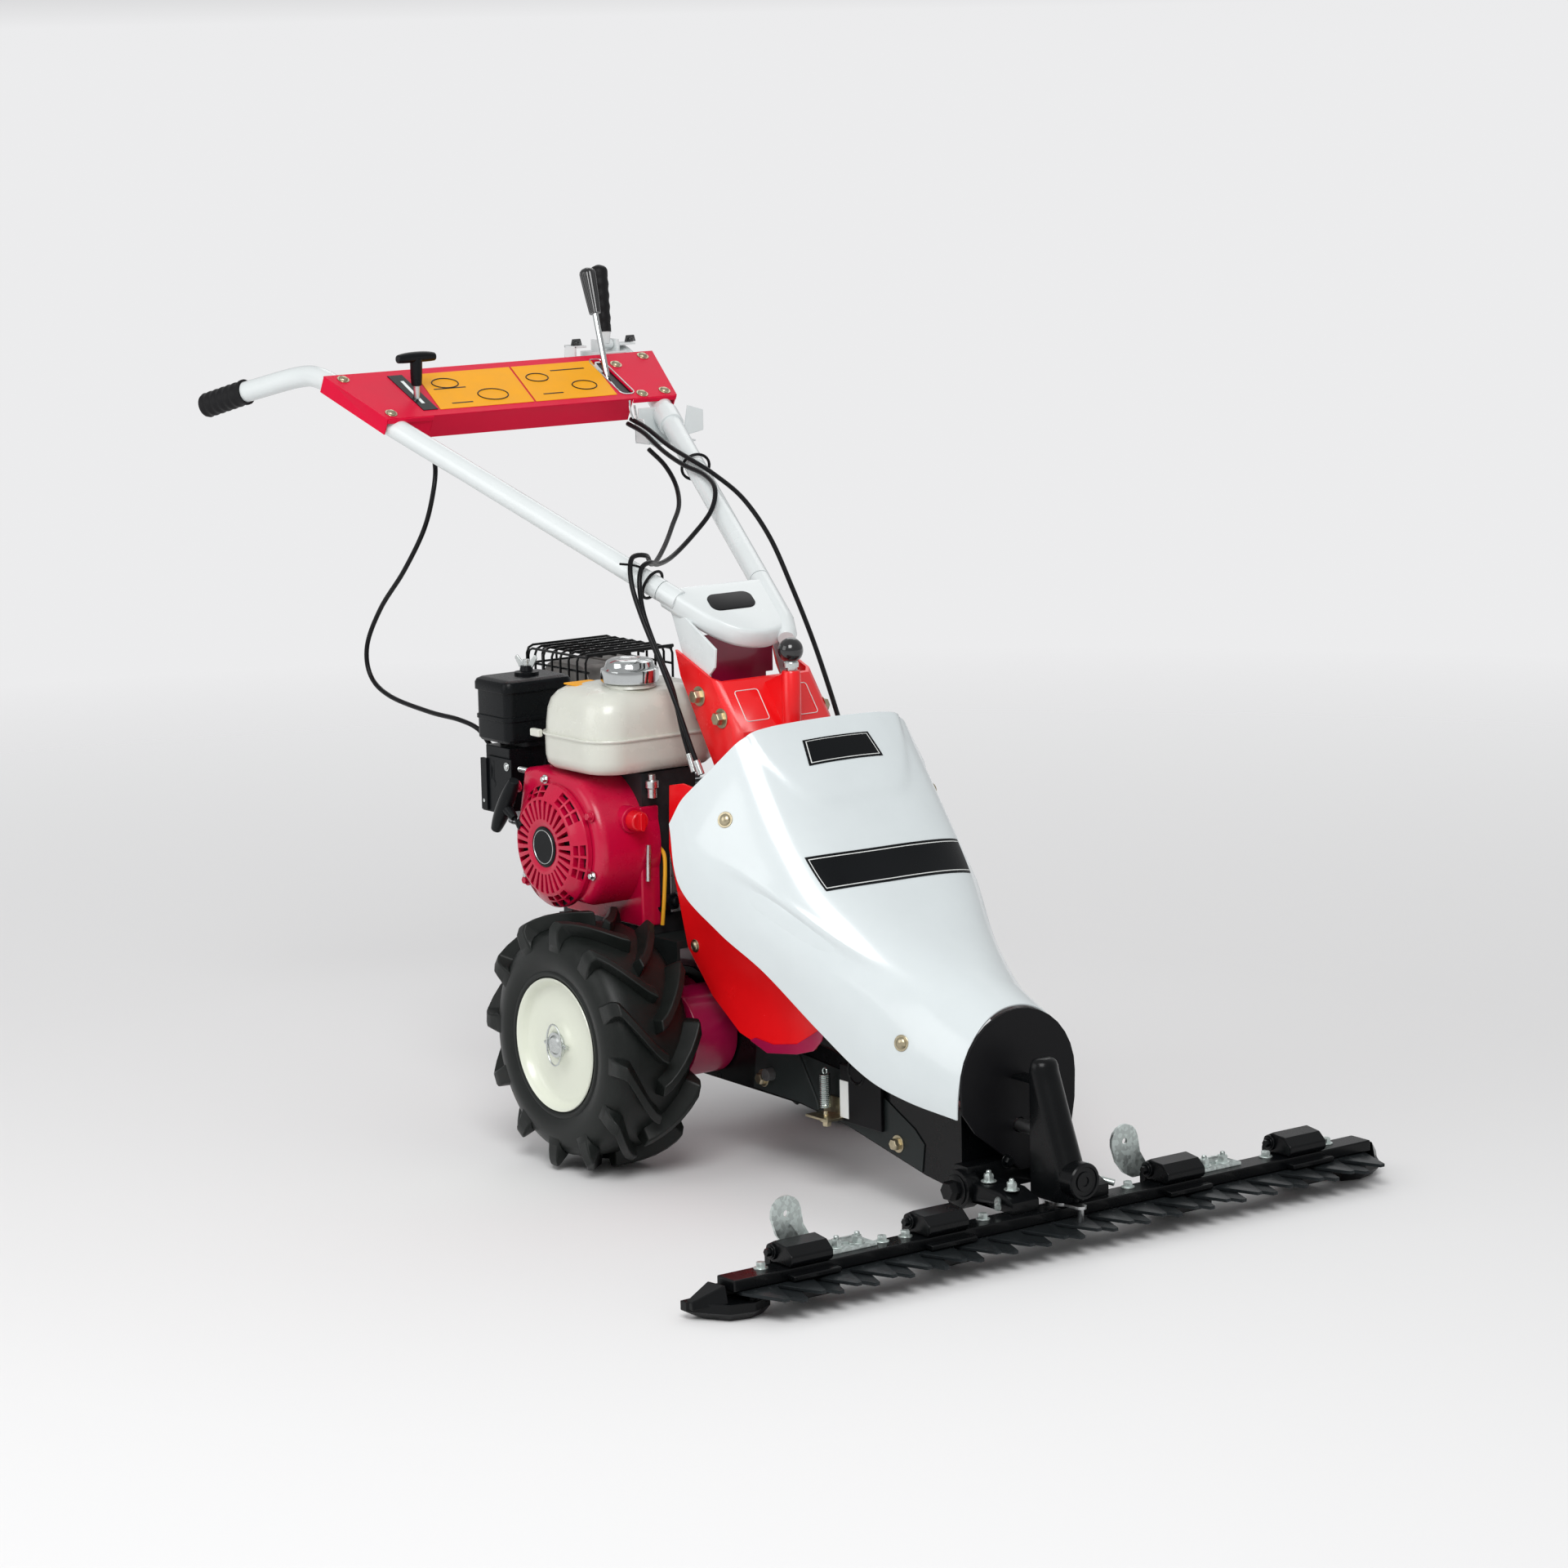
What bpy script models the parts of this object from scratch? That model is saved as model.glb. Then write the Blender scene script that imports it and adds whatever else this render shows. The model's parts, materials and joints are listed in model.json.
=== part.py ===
"""Walk-behind cutter-bar mower. Metres, +Z up, front at -Y, the operator's left at +X.

The ground is z = 0 and the origin lies on it straight under the wheel axle."""

import math

import bpy
from mathutils import Matrix, Vector

GAP = 0.0003  # what touching pieces keep between them

# Running gear
AXLE_Z = 0.165
TYRE_RADIUS = 0.165
TYRE_HALF_WIDTH = 0.0635
HALF_TRACK = 0.205
RIM_BEAD_RADIUS = 0.076
RIM_FLANGE_RADIUS = 0.0865
AXLE_RADIUS = 0.010
DRUM_RADIUS = 0.056
WHEEL_SIDES = 36

# Frame
FRAME_HALF_WIDTH = 0.0625
FRAME_SHEET = 0.0045
POST = Vector((0.0, -0.110, 0.492))  # top centre of the swivel post
NOSE_Y = -0.5955
NOSE_SHEET = 0.0045

# Belt drive
BELT_X = 0.085
BELT_HALF_WIDTH = 0.0045
BELT_DEPTH = 0.008
CRANK = Vector((BELT_X, 0.070, 0.400))
COUNTERSHAFT = Vector((BELT_X, -0.190, 0.130))
ENGINE_PULLEY_RADIUS = 0.030
DRIVEN_PULLEY_RADIUS = 0.055
IDLER_PIVOT = Vector((0.100, -0.066, 0.368))
IDLER_ROLLER = Vector((0.089, -0.115, 0.318))
SHAFT_RADIUS = 0.008

# Cutter bar
TOOTH_PITCH = 0.0508
UPPER_TEETH = 19
LOWER_TEETH = 18
TIP_Y = -0.746
TOOTH_ROOT_Y = -0.692
KNIFE_BACK_Y = -0.664
KNIFE_THICK = 0.004
LOWER_KNIFE_Z = 0.0235
UPPER_KNIFE_Z = LOWER_KNIFE_Z + KNIFE_THICK + 0.0005
BAR_LOW = Vector((-0.490, -0.690, 0.0325))
BAR_HIGH = Vector((0.490, -0.656, 0.0465))
ROCKER = Vector((0.0, -0.680, 0.0485))
ROCKER_ARM = 0.032
GUIDE_XS = (-0.382, -0.183, 0.183, 0.382)
GUIDE_HALF_WIDTH = 0.030

# Engine
BLOCK_LOW = Vector((-0.134, -0.020, 0.2905))
BLOCK_HIGH = Vector((0.060, 0.165, 0.455))
FAN_CENTRE = (0.064, 0.408)  # the blower housing's drum, in (y, z)
FAN_RADIUS = 0.092
FAN_FLOOR_Z = 0.334
RECOIL = Vector((-0.2053, 0.070, 0.405))
TANK_LOW = Vector((-0.205, -0.032, 0.500))
TANK_HIGH = Vector((-0.005, 0.125, 0.608))
FUEL_CAP = Vector((-0.120, 0.020, 0.612))
CHOKE = Vector((-0.1953, 0.225, 0.465))
GRIP_PULL = Vector((0.0, 0.83, 0.56)).normalized()
GRIP = Vector((-0.220, 0.165, 0.454))
SWITCH = Vector((-0.155, -0.0300, 0.444))

# Handlebar
BRACKET_HALF_WIDTH = 0.077
TUBE_RADIUS = 0.014
TUBE_WALL = 0.0025
TUBE_FOOT = Vector((0.0749, 0.0, 0.722))
TUBE_HEAD = Vector((0.2255, 0.450, 0.934))
GRIP_START = Vector((0.286, 0.668, 0.953))
GRIP_END = Vector((0.311, 0.7389, 0.931))
CONSOLE = Vector((0.0, 0.450, 0.9555))
CONSOLE_TILT = math.radians(27.0)
CONSOLE_SHEET = 0.002
KNOB = Vector((0.0, -0.161, 0.658))
THROTTLE = Vector((-0.160, 0.440, 0.935))
SHIFT = Vector((0.158, 0.452, 0.935))
CLUTCH_PIVOT = Vector((0.205, 0.530, 0.993))
CLUTCH_HEAD = Vector((0.211, 0.550, 1.101))
CABLE_RADIUS = 0.0032

RED = (0.75, 0.02, 0.02)
CRIMSON = (0.50, 0.01, 0.05)
WHITE = (0.86, 0.89, 0.89)
CREAM = (0.80, 0.80, 0.68)
BLACK = (0.02, 0.02, 0.022)
STEEL = (0.55, 0.56, 0.56)
ZINC = (0.62, 0.55, 0.30)


def clear_scene():
    for obj in list(bpy.data.objects):
        bpy.data.objects.remove(obj)


def material(name, colour, roughness, metallic):
    made = bpy.data.materials.new(name)
    made.use_nodes = True
    shader = made.node_tree.nodes["Principled BSDF"]
    shader.inputs["Base Color"].default_value = (*colour, 1.0)
    shader.inputs["Roughness"].default_value = roughness
    shader.inputs["Metallic"].default_value = metallic
    return made


def finish(obj, colour, roughness=0.4, metallic=0.0):
    obj.data.materials.append(material(obj.name, colour, roughness, metallic))
    obj.data.shade_smooth()
    obj.data.set_sharp_from_angle(angle=math.radians(35))
    return obj


def mesh_object(name, points, faces):
    """A closed mesh, with its faces turned outwards."""
    mesh = bpy.data.meshes.new(name)
    mesh.from_pydata([tuple(p) for p in points], [], faces)
    volume = 0.0
    for face in mesh.polygons:
        corners = [mesh.vertices[i].co for i in face.vertices]
        for second, third in zip(corners[1:], corners[2:]):
            volume += corners[0].dot(second.cross(third))
    if volume < 0:
        mesh.flip_normals()
    obj = bpy.data.objects.new(name, mesh)
    bpy.context.scene.collection.objects.link(obj)
    return obj


def placed(axis, flat, along):
    """The point whose two flat coordinates lie across axis and whose third lies along it."""
    if axis == "X":
        return Vector((along, flat[0], flat[1]))
    if axis == "Y":
        return Vector((flat[0], along, flat[1]))
    return Vector((flat[0], flat[1], along))


def prism(name, outline, axis, low, high):
    """The outline extruded from low to high along axis."""
    count = len(outline)
    points = [placed(axis, flat, low) for flat in outline] + [placed(axis, flat, high) for flat in outline]
    faces = [tuple(range(count)), tuple(range(2 * count - 1, count - 1, -1))]
    for i in range(count):
        j = (i + 1) % count
        faces.append((j, i, i + count, j + count))
    return mesh_object(name, points, faces)


def box(name, low, high):
    outline = [(low[0], low[1]), (high[0], low[1]), (high[0], high[1]), (low[0], high[1])]
    return prism(name, outline, "Z", low[2], high[2])


def arc(centre, radius, start, stop, steps):
    """Points on a circle arc in degrees, both ends included."""
    points = []
    for i in range(steps + 1):
        angle = math.radians(start + (stop - start) * i / steps)
        points.append((centre[0] + radius * math.cos(angle), centre[1] + radius * math.sin(angle)))
    return points


def rounded(low, high, radius, steps=4):
    """A rectangle's outline with round corners."""
    corners = ((high[0], high[1], 0), (low[0], high[1], 90), (low[0], low[1], 180), (high[0], low[1], 270))
    points = []
    for x, y, start in corners:
        centre = (x - math.copysign(radius, x - (low[0] + high[0]) / 2),
                  y - math.copysign(radius, y - (low[1] + high[1]) / 2))
        points += arc(centre, radius, start, start + 90, steps)
    return points


def turned(name, profile, axis, centre, steps=24):
    """The closed (radius, along) profile turned round axis. A point at radius 0 closes the solid there."""
    points, rings = [], []
    for radius, along in profile:
        ring = []
        for i in range(steps if radius > 0 else 1):
            angle = 2 * math.pi * (i + 0.5) / steps
            flat = (radius * math.cos(angle), radius * math.sin(angle))
            ring.append(len(points))
            points.append(centre + placed(axis, flat, along))
        rings.append(ring)
    faces = []
    for first, second in zip(rings, rings[1:] + rings[:1]):
        for i in range(steps):
            j = (i + 1) % steps
            corners = [first[i % len(first)], first[j % len(first)], second[j % len(second)],
                       second[i % len(second)]]
            kept = list(dict.fromkeys(corners))
            if len(kept) > 2:
                faces.append(tuple(kept))
    return mesh_object(name, points, faces)


def cylinder(name, radius, axis, centre, length, steps=24):
    """A cylinder that starts at centre and runs length along axis."""
    profile = [(0, 0), (radius, 0), (radius, length), (0, length)]
    return turned(name, profile, axis, Vector(centre), steps)


def ring(name, inner, outer, axis, centre, length, steps=24):
    profile = [(inner, 0), (outer, 0), (outer, length), (inner, length)]
    return turned(name, profile, axis, Vector(centre), steps)


def rod(name, start, end, radius, sides=12):
    return sweep(name, [Vector(start), Vector(end)], radius, sides)


def sweep(name, route, radius, sides=12):
    """A round bar along the route, with flat ends."""
    points = []
    side = None
    for i, here in enumerate(route):
        before = route[max(i - 1, 0)]
        after = route[min(i + 1, len(route) - 1)]
        ahead = (Vector(after) - Vector(before)).normalized()
        if side is None:
            side = ahead.orthogonal().normalized()
        side = (side - ahead * side.dot(ahead)).normalized()
        other = ahead.cross(side)
        for k in range(sides):
            angle = 2 * math.pi * k / sides
            points.append(Vector(here) + radius * (side * math.cos(angle) + other * math.sin(angle)))
    faces = [tuple(range(sides)), tuple(range(len(points) - 1, len(points) - sides - 1, -1))]
    for i in range(len(route) - 1):
        for k in range(sides):
            n = (k + 1) % sides
            row, after = i * sides, (i + 1) * sides
            faces.append((row + n, row + k, after + k, after + n))
    return mesh_object(name, points, faces)


def pipe(name, route, outer, inner, sides):
    """A hollow round bar along the route, open at both ends."""
    skin, core = sweep(name + "_skin", route, outer, sides), sweep(name + "_core", route, inner, sides)
    points = [v.co.copy() for v in skin.data.vertices] + [v.co.copy() for v in core.data.vertices]
    layer, last = len(route) * sides, (len(route) - 1) * sides
    walls = [tuple(f.vertices) for f in skin.data.polygons if len(f.vertices) == 4]
    faces = walls + [tuple(layer + v for v in reversed(wall)) for wall in walls]
    for k in range(sides):
        n = (k + 1) % sides
        faces += [(n, k, layer + k, layer + n), (last + k, last + n, layer + last + n, layer + last + k)]
    for helper in (skin, core):
        bpy.data.objects.remove(helper)
    return mesh_object(name, points, faces)


def smooth_route(route, per_span):
    """Points on a Catmull-Rom curve through the route's own points."""
    points = [Vector(p) for p in route]
    padded = [2 * points[0] - points[1]] + points + [2 * points[-1] - points[-2]]
    result = []
    for before, start, end, after in zip(padded, padded[1:], padded[2:], padded[3:]):
        for k in range(per_span):
            t = k / per_span
            result.append(0.5 * (2 * start + (end - before) * t + (2 * before - 5 * start + 4 * end - after) * t**2
                                 + (3 * start - before - 3 * end + after) * t**3))
    return result + [points[-1]]


def combine(base, operation, others):
    for other in others:
        modifier = base.modifiers.new(other.name, "BOOLEAN")
        modifier.operation = operation
        modifier.object = other
        other.hide_render = True
        other.display_type = "WIRE"
    return base


def union(base, *others):
    return combine(base, "UNION", others)


def cut(base, *others):
    return combine(base, "DIFFERENCE", others)


def turn_about(obj, pivot, axis, angle):
    matrix = Matrix.Translation(pivot) @ Matrix.Rotation(angle, 4, axis) @ Matrix.Translation(-Vector(pivot))
    obj.data.transform(matrix)
    return obj


def mirrored(outline):
    return [(-x, y) for x, y in outline]


# Running gear


def wheels():
    axle = cylinder("axle", AXLE_RADIUS, "X", (-0.266, 0, AXLE_Z), 0.532)
    union(axle, cylinder("worm_wheel_disc", 0.040, "X", (-0.009, 0, AXLE_Z), 0.018))
    finish(axle, STEEL, 0.35, 1.0)
    for side, word in ((-1, "right"), (1, "left")):
        rim(side, word)
        tyre(side, word)


def rim(side, word):
    bore = AXLE_RADIUS + GAP
    profile = [(RIM_FLANGE_RADIUS, 0.060), (0.0735, 0.055), (0.062, 0.040), (0.026, 0.044), (0.020, 0.055),
               (bore, 0.055), (bore, -0.050), (0.018, -0.050), (0.018, 0.034), (0.060, 0.034), (0.073, 0.030),
               (0.073, -0.054), (RIM_FLANGE_RADIUS, -0.060), (RIM_BEAD_RADIUS, -0.052), (RIM_BEAD_RADIUS,
                                                                                         0.052)]
    profile = [(radius, side * along) for radius, along in profile]
    finish(turned(f"rim_{word}", profile, "X", Vector((side * HALF_TRACK, 0, AXLE_Z)), 24), CREAM, 0.35)


def tyre(side, word):
    """A casing that is open towards the rim between its two beads."""
    seat = RIM_BEAD_RADIUS / math.cos(math.pi / 24) + 0.0006
    tread = TYRE_RADIUS / math.cos(math.pi / WHEEL_SIDES)
    outside = [(seat, 0.0515), (0.090, 0.0605), (0.115, TYRE_HALF_WIDTH), (0.143, 0.060), (tread, 0.047)]
    inside = [(tread - 0.016, 0.042), (0.115, 0.0545), (seat, 0.0445)]
    profile = outside + [(radius, -along) for radius, along in reversed(outside)]
    profile += [(radius, -along) for radius, along in reversed(inside)] + inside
    centre = Vector((side * HALF_TRACK, 0, AXLE_Z))
    finish(turned(f"tyre_{word}", profile, "X", centre, WHEEL_SIDES), BLACK, 0.8)


def gearbox_case():
    """Axle drums either side of the frame, with a chamber for the worm wheel and a foot for the engine bridge."""
    drum = [(0.0, -0.138), (0.050, -0.138), (DRUM_RADIUS, -0.130), (DRUM_RADIUS, -0.069), (0.064, -0.069),
            (0.064, -0.0632), (DRUM_RADIUS - 0.002, -0.0632)]
    profile = drum + [(radius, -along) for radius, along in reversed(drum)]
    case = turned("gearbox_case", profile, "X", Vector((0, 0, AXLE_Z)), 32)
    union(case, box("gearbox_foot", (-0.045, -0.045, AXLE_Z), (0.045, 0.045, 0.2797)),
          cylinder("gear_side_cover", 0.057, "X", (-0.130, -0.062, 0.170), 0.0655))
    cut(case, cylinder("gearbox_bore", AXLE_RADIUS + GAP, "X", (-0.2, 0, AXLE_Z), 0.4),
        cylinder("gearbox_chamber", 0.0415, "X", (-0.010, 0, AXLE_Z), 0.020))
    finish(case, CRIMSON, 0.3)


# Frame


def frame_outline():
    return [(0.035, 0.105), (-0.007, 0.105), (-0.248, 0.101), (-0.342, 0.091), (-0.444, 0.069), (-0.497,
                                                                                                 0.058),
            (-0.567, 0.049), (-0.567, 0.150), (-0.400, 0.172), (-0.200, 0.195), (-0.020, 0.240), (0.060,
                                                                                                  0.235),
            (0.072, 0.200), (0.072, 0.140)]


def main_frame():
    inner = FRAME_HALF_WIDTH - FRAME_SHEET
    frame = prism("main_frame", frame_outline(), "X", -FRAME_HALF_WIDTH, -inner)
    pieces = [
        prism("frame_left", frame_outline(), "X", inner, FRAME_HALF_WIDTH),
        box("frame_front", (-inner - 0.001, -0.566, 0.054), (inner + 0.001, -0.561, 0.146)),
        box("frame_web", (-inner - 0.001, -0.150, 0.1545), (inner + 0.001, -0.080, 0.1600)),
        box("frame_tie", (-inner - 0.001, -0.350, 0.150), (inner + 0.001, -0.320, 0.156)),
        box("frame_post", (-0.024, -0.134, 0.158), (0.024, -0.086, 0.487)),
        cylinder("post_head", 0.042, "Z", (POST.x, POST.y, 0.485), POST.z - 0.485),
    ]
    for x in (-0.040, 0.040):
        pieces.append(cylinder(f"nose_standoff_{x}", 0.006, "Y", (x, NOSE_Y + GAP, 0.135), 0.031, 12))
    union(frame, *pieces)
    cut(frame, cylinder("drum_hole", DRUM_RADIUS + 0.001, "X", (-0.1, 0, AXLE_Z), 0.2, 32),
        cylinder("countershaft_hole", SHAFT_RADIUS + 0.001, "X", (-0.1, COUNTERSHAFT.y, COUNTERSHAFT.z), 0.2),
        cylinder("drive_shaft_hole", SHAFT_RADIUS + 0.001, "Y", (0, -0.58, COUNTERSHAFT.z), 0.05))
    finish(frame, BLACK, 0.45)


def engine_bridge():
    """The engine's mounting plate, with a web down each side and a foot on the gearbox."""
    outline = [(-0.125, 0.231), (-0.120, 0.231), (-0.120, 0.2801), (0.057, 0.2801), (0.057, 0.245), (0.062,
                                                                                                     0.245),
               (0.062, 0.2902), (-0.125, 0.2902)]
    finish(prism("engine_bridge", outline, "Y", -0.076, 0.190), (0.05, 0.06, 0.06), 0.5)


def front_carrier():
    """The cast arms that hold the cutter bar in front of the frame."""
    arm = [(-0.5673, 0.052), (-0.5673, 0.072), (-0.650, 0.070), (-0.676, 0.060), (-0.676, 0.0468), (-0.600,
                                                                                                    0.0468)]
    block = box("front_carrier", (-0.074, -0.592, 0.0535), (0.074, -0.5673, 0.088))
    union(block, prism("carrier_right", arm, "X", -0.074, -0.034), prism("carrier_left", arm, "X", 0.034,
                                                                         0.074),
          cylinder("carrier_boss", 0.024, "X", (-0.082, -0.580, 0.060), 0.0189))
    finish(block, BLACK, 0.45)


def nose_plate():
    """The round-topped plate that closes the hood's mouth, with its lower right corner cut away."""
    outline = arc((0.0, 0.184), 0.088, 0, 180, 16)
    outline += [(-0.086, 0.155), (-0.067, 0.129), (0.002, 0.0745), (0.050, 0.0745), (0.080, 0.110), (0.087,
                                                                                                     0.150)]
    plate = prism("nose_plate", outline, "Y", NOSE_Y - NOSE_SHEET, NOSE_Y)
    cut(plate, cylinder("nose_hole", SHAFT_RADIUS + 0.001, "Y", (0, -0.62, COUNTERSHAFT.z), 0.05))
    finish(plate, (0.008, 0.008, 0.009), 0.35)


def tunnel(name, half_width, rear, fronts):
    """A U-shaped tunnel: one row of points for each (height, front) pair."""
    steps = 10
    points = []
    for height, front in fronts:
        points.append(Vector((half_width, rear, height)))
        for x, y in arc((0, 0), 1.0, 0, -180, steps):
            points.append(Vector((x * half_width, front + half_width * (1 + y), height)))
        points.append(Vector((-half_width, rear, height)))
    row = steps + 3
    faces = [tuple(range(row)), tuple(range(len(points) - 1, len(points) - row - 1, -1))]
    for i in range(len(fronts) - 1):
        for k in range(row):
            n = (k + 1) % row
            faces.append((i * row + n, i * row + k, (i + 1) * row + k, (i + 1) * row + n))
    return mesh_object(name, points, faces)


def drive_cover():
    rear = NOSE_Y - NOSE_SHEET - GAP
    cover = tunnel("drive_cover", 0.027, rear, [(0.0545, -0.704), (0.078, -0.716), (0.212, -0.640), (0.222,
                                                                                                     -0.629)])
    cap = cylinder("bearing_cap", 0.0205, "Y", (0, -0.722, 0.083), 0.030)
    inside = tunnel("cover_inside", 0.0245, rear + 0.010, [(0.040, -0.694), (0.076, -0.7125), (0.205,
                                                                                               -0.6395)])
    union(cover, cap)
    cut(cover, inside)
    finish(cover, BLACK, 0.25)


# Belt and knife drive


def pulley_profile(radius, low, high):
    """Half sections of a pulley with a flat-bottomed groove, from its low face to its high face."""
    rim_radius = radius + 0.010
    groove = BELT_HALF_WIDTH + 0.0008
    return [(rim_radius, low), (rim_radius, -groove), (radius, -groove), (radius, groove), (rim_radius,
                                                                                            groove),
            (rim_radius, high)]


def engine_pulley():
    profile = [(0, -0.0245), (SHAFT_RADIUS, -0.0245), (SHAFT_RADIUS, -0.009)]
    profile += pulley_profile(ENGINE_PULLEY_RADIUS, -0.009, 0.009)
    profile += [(SHAFT_RADIUS, 0.009), (SHAFT_RADIUS, 0.013), (0, 0.013)]
    finish(turned("crankshaft_pulley", profile, "X", CRANK, 24), STEEL, 0.35, 1.0)


def countershaft():
    profile = [(0, -0.160), (SHAFT_RADIUS, -0.160), (SHAFT_RADIUS, -0.111), (0.019, -0.111), (0.013, -0.099),
               (SHAFT_RADIUS, -0.099), (SHAFT_RADIUS, -0.009)]
    profile += pulley_profile(DRIVEN_PULLEY_RADIUS, -0.009, 0.009)
    profile += [(SHAFT_RADIUS, 0.009), (SHAFT_RADIUS, 0.013), (0, 0.013)]
    finish(turned("driven_pulley", profile, "X", COUNTERSHAFT, 24), STEEL, 0.4, 1.0)


def belt_outline(extra, steps):
    """The open belt run round both pulleys, extra outside the groove's floor, in (y, z)."""
    first, second = Vector((CRANK.y, CRANK.z)), Vector((COUNTERSHAFT.y, COUNTERSHAFT.z))
    along = (second - first).normalized()
    heading = math.degrees(math.atan2(along.y, along.x))
    lean = math.degrees(math.acos((ENGINE_PULLEY_RADIUS - DRIVEN_PULLEY_RADIUS) / (second - first).length))
    small = arc(first, ENGINE_PULLEY_RADIUS + extra, heading + lean, heading + 360 - lean, steps)
    large = arc(second, DRIVEN_PULLEY_RADIUS + extra, heading - lean, heading + lean, steps)
    return small + large


def v_belt():
    outer, inner = belt_outline(BELT_DEPTH, 14), belt_outline(0.0008, 14)
    belt = prism("v_belt", outer, "X", BELT_X - BELT_HALF_WIDTH, BELT_X + BELT_HALF_WIDTH)
    hole = prism("v_belt_hole", inner, "X", BELT_X - 0.01, BELT_X + 0.01)
    finish(cut(belt, hole), BLACK, 0.8)


def idler_arm():
    low, high = 0.0990, 0.1025
    pivot, roller = IDLER_PIVOT, IDLER_ROLLER
    arm = cylinder("idler_arm", 0.011, "X", (low, pivot.y, pivot.z), high - low, 16)
    across = Vector((0, roller.z - pivot.z, pivot.y - roller.y)).normalized() * 0.009
    corners = [pivot + across, roller + across, roller - across, pivot - across]
    union(arm, prism("idler_strap", [(p.y, p.z) for p in corners], "X", low + 0.0002, high - 0.0002),
          cylinder("idler_roller", 0.016, "X", (0.0795, roller.y, roller.z), high - 0.0795 + 0.001, 20),
          cylinder("idler_boss", 0.007, "X", (low + 0.001, pivot.y, pivot.z), 0.0085, 16))
    finish(arm, ZINC, 0.4, 1.0)


def drive_shaft():
    """The fore-and-aft shaft, with a bevel pinion behind and an eccentric in front."""
    z = COUNTERSHAFT.z
    profile = [(0, -0.664), (SHAFT_RADIUS, -0.664), (SHAFT_RADIUS, -0.227), (0.013, -0.227), (0.010, -0.2155),
               (0, -0.2155)]
    shaft = turned("drive_shaft", profile, "Y", Vector((0, 0, z)), 20)
    union(shaft, cylinder("eccentric", 0.0125, "Y", (0, -0.6655, z + 0.006), 0.010, 20))
    finish(shaft, STEEL, 0.35, 1.0)


def drive_lever():
    """The lever on an upright shaft whose two pins push the knives opposite ways."""
    z = ROCKER.z
    lever = cylinder("drive_lever", 0.013, "Z", ROCKER, 0.004)
    arms = rounded((-0.0075, ROCKER.y - ROCKER_ARM - 0.0065), (0.0075, ROCKER.y + ROCKER_ARM + 0.0065), 0.007)
    union(lever, prism("lever_arms", arms, "Z", z + 0.0002, z + 0.0038),
          cylinder("lever_shaft", 0.007, "Z", (0, ROCKER.y, z + 0.001), 0.062, 16),
          cylinder("upper_pin", 0.004, "Z", (0, ROCKER.y - ROCKER_ARM, UPPER_KNIFE_Z + 0.001), 0.022, 12),
          cylinder("lower_pin", 0.004, "Z", (0, ROCKER.y + ROCKER_ARM, LOWER_KNIFE_Z + 0.001), 0.027, 12))
    finish(lever, STEEL, 0.4, 1.0)


def knife_outline(teeth, root_y):
    """The comb of one knife in plan. Each tooth is a blunt triangle on its own section."""
    half = TOOTH_PITCH / 2
    points = []
    for i in range(teeth):
        x = (i - (teeth - 1) / 2) * TOOTH_PITCH
        points += [(x - half + 0.0015, root_y), (x - 0.0035, TIP_Y), (x + 0.0035, TIP_Y), (x + half - 0.0015,
                                                                                           root_y)]
    end = points[-1][0]
    return points + [(end, KNIFE_BACK_Y), (-end, KNIFE_BACK_Y)]


def knives():
    upper = prism("upper_knife", knife_outline(UPPER_TEETH, TOOTH_ROOT_Y), "Z", UPPER_KNIFE_Z,
                  UPPER_KNIFE_Z + KNIFE_THICK)
    front = ROCKER.y - ROCKER_ARM
    cut(upper, box("upper_slot", (-0.005, front - 0.006, 0.02), (0.005, front + 0.008, 0.04)))
    finish(upper, (0.03, 0.04, 0.04), 0.4, 0.6)
    lower = prism("lower_knife", knife_outline(LOWER_TEETH, TOOTH_ROOT_Y), "Z", LOWER_KNIFE_Z,
                  LOWER_KNIFE_Z + KNIFE_THICK)
    rear = ROCKER.y + ROCKER_ARM
    union(lower, box("lower_tongue", (-0.013, -0.670, LOWER_KNIFE_Z + 0.0002),
                     (0.013, -0.638, LOWER_KNIFE_Z + KNIFE_THICK - 0.0002)))
    cut(lower, box("lower_slot", (-0.005, rear - 0.008, 0.02), (0.005, rear + 0.02, 0.04)))
    finish(lower, (0.03, 0.04, 0.04), 0.4, 0.6)


# Cutter bar


def bar_back():
    bar = box("bar_back", BAR_LOW, BAR_HIGH)
    finish(bar, BLACK, 0.4)


def knife_guides():
    """Each guide wraps round the back of the bar: a block above it and a finger under the lower knife."""
    outline = [(-0.655, 0.0468), (-0.690, 0.0468), (-0.694, 0.052), (-0.694, 0.060), (-0.682, 0.070), (-0.660,
                                                                                                       0.073),
               (-0.645, 0.066), (-0.640, 0.050), (-0.640, 0.0125), (-0.706, 0.0125), (-0.706, 0.0228),
               (-0.6535, 0.0228), (-0.6535, 0.0468)]
    for number, x in enumerate(GUIDE_XS, 1):
        guide = prism(f"knife_guide_{number}", outline, "X", x - GUIDE_HALF_WIDTH, x + GUIDE_HALF_WIDTH)
        finish(guide, BLACK, 0.4)


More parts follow.
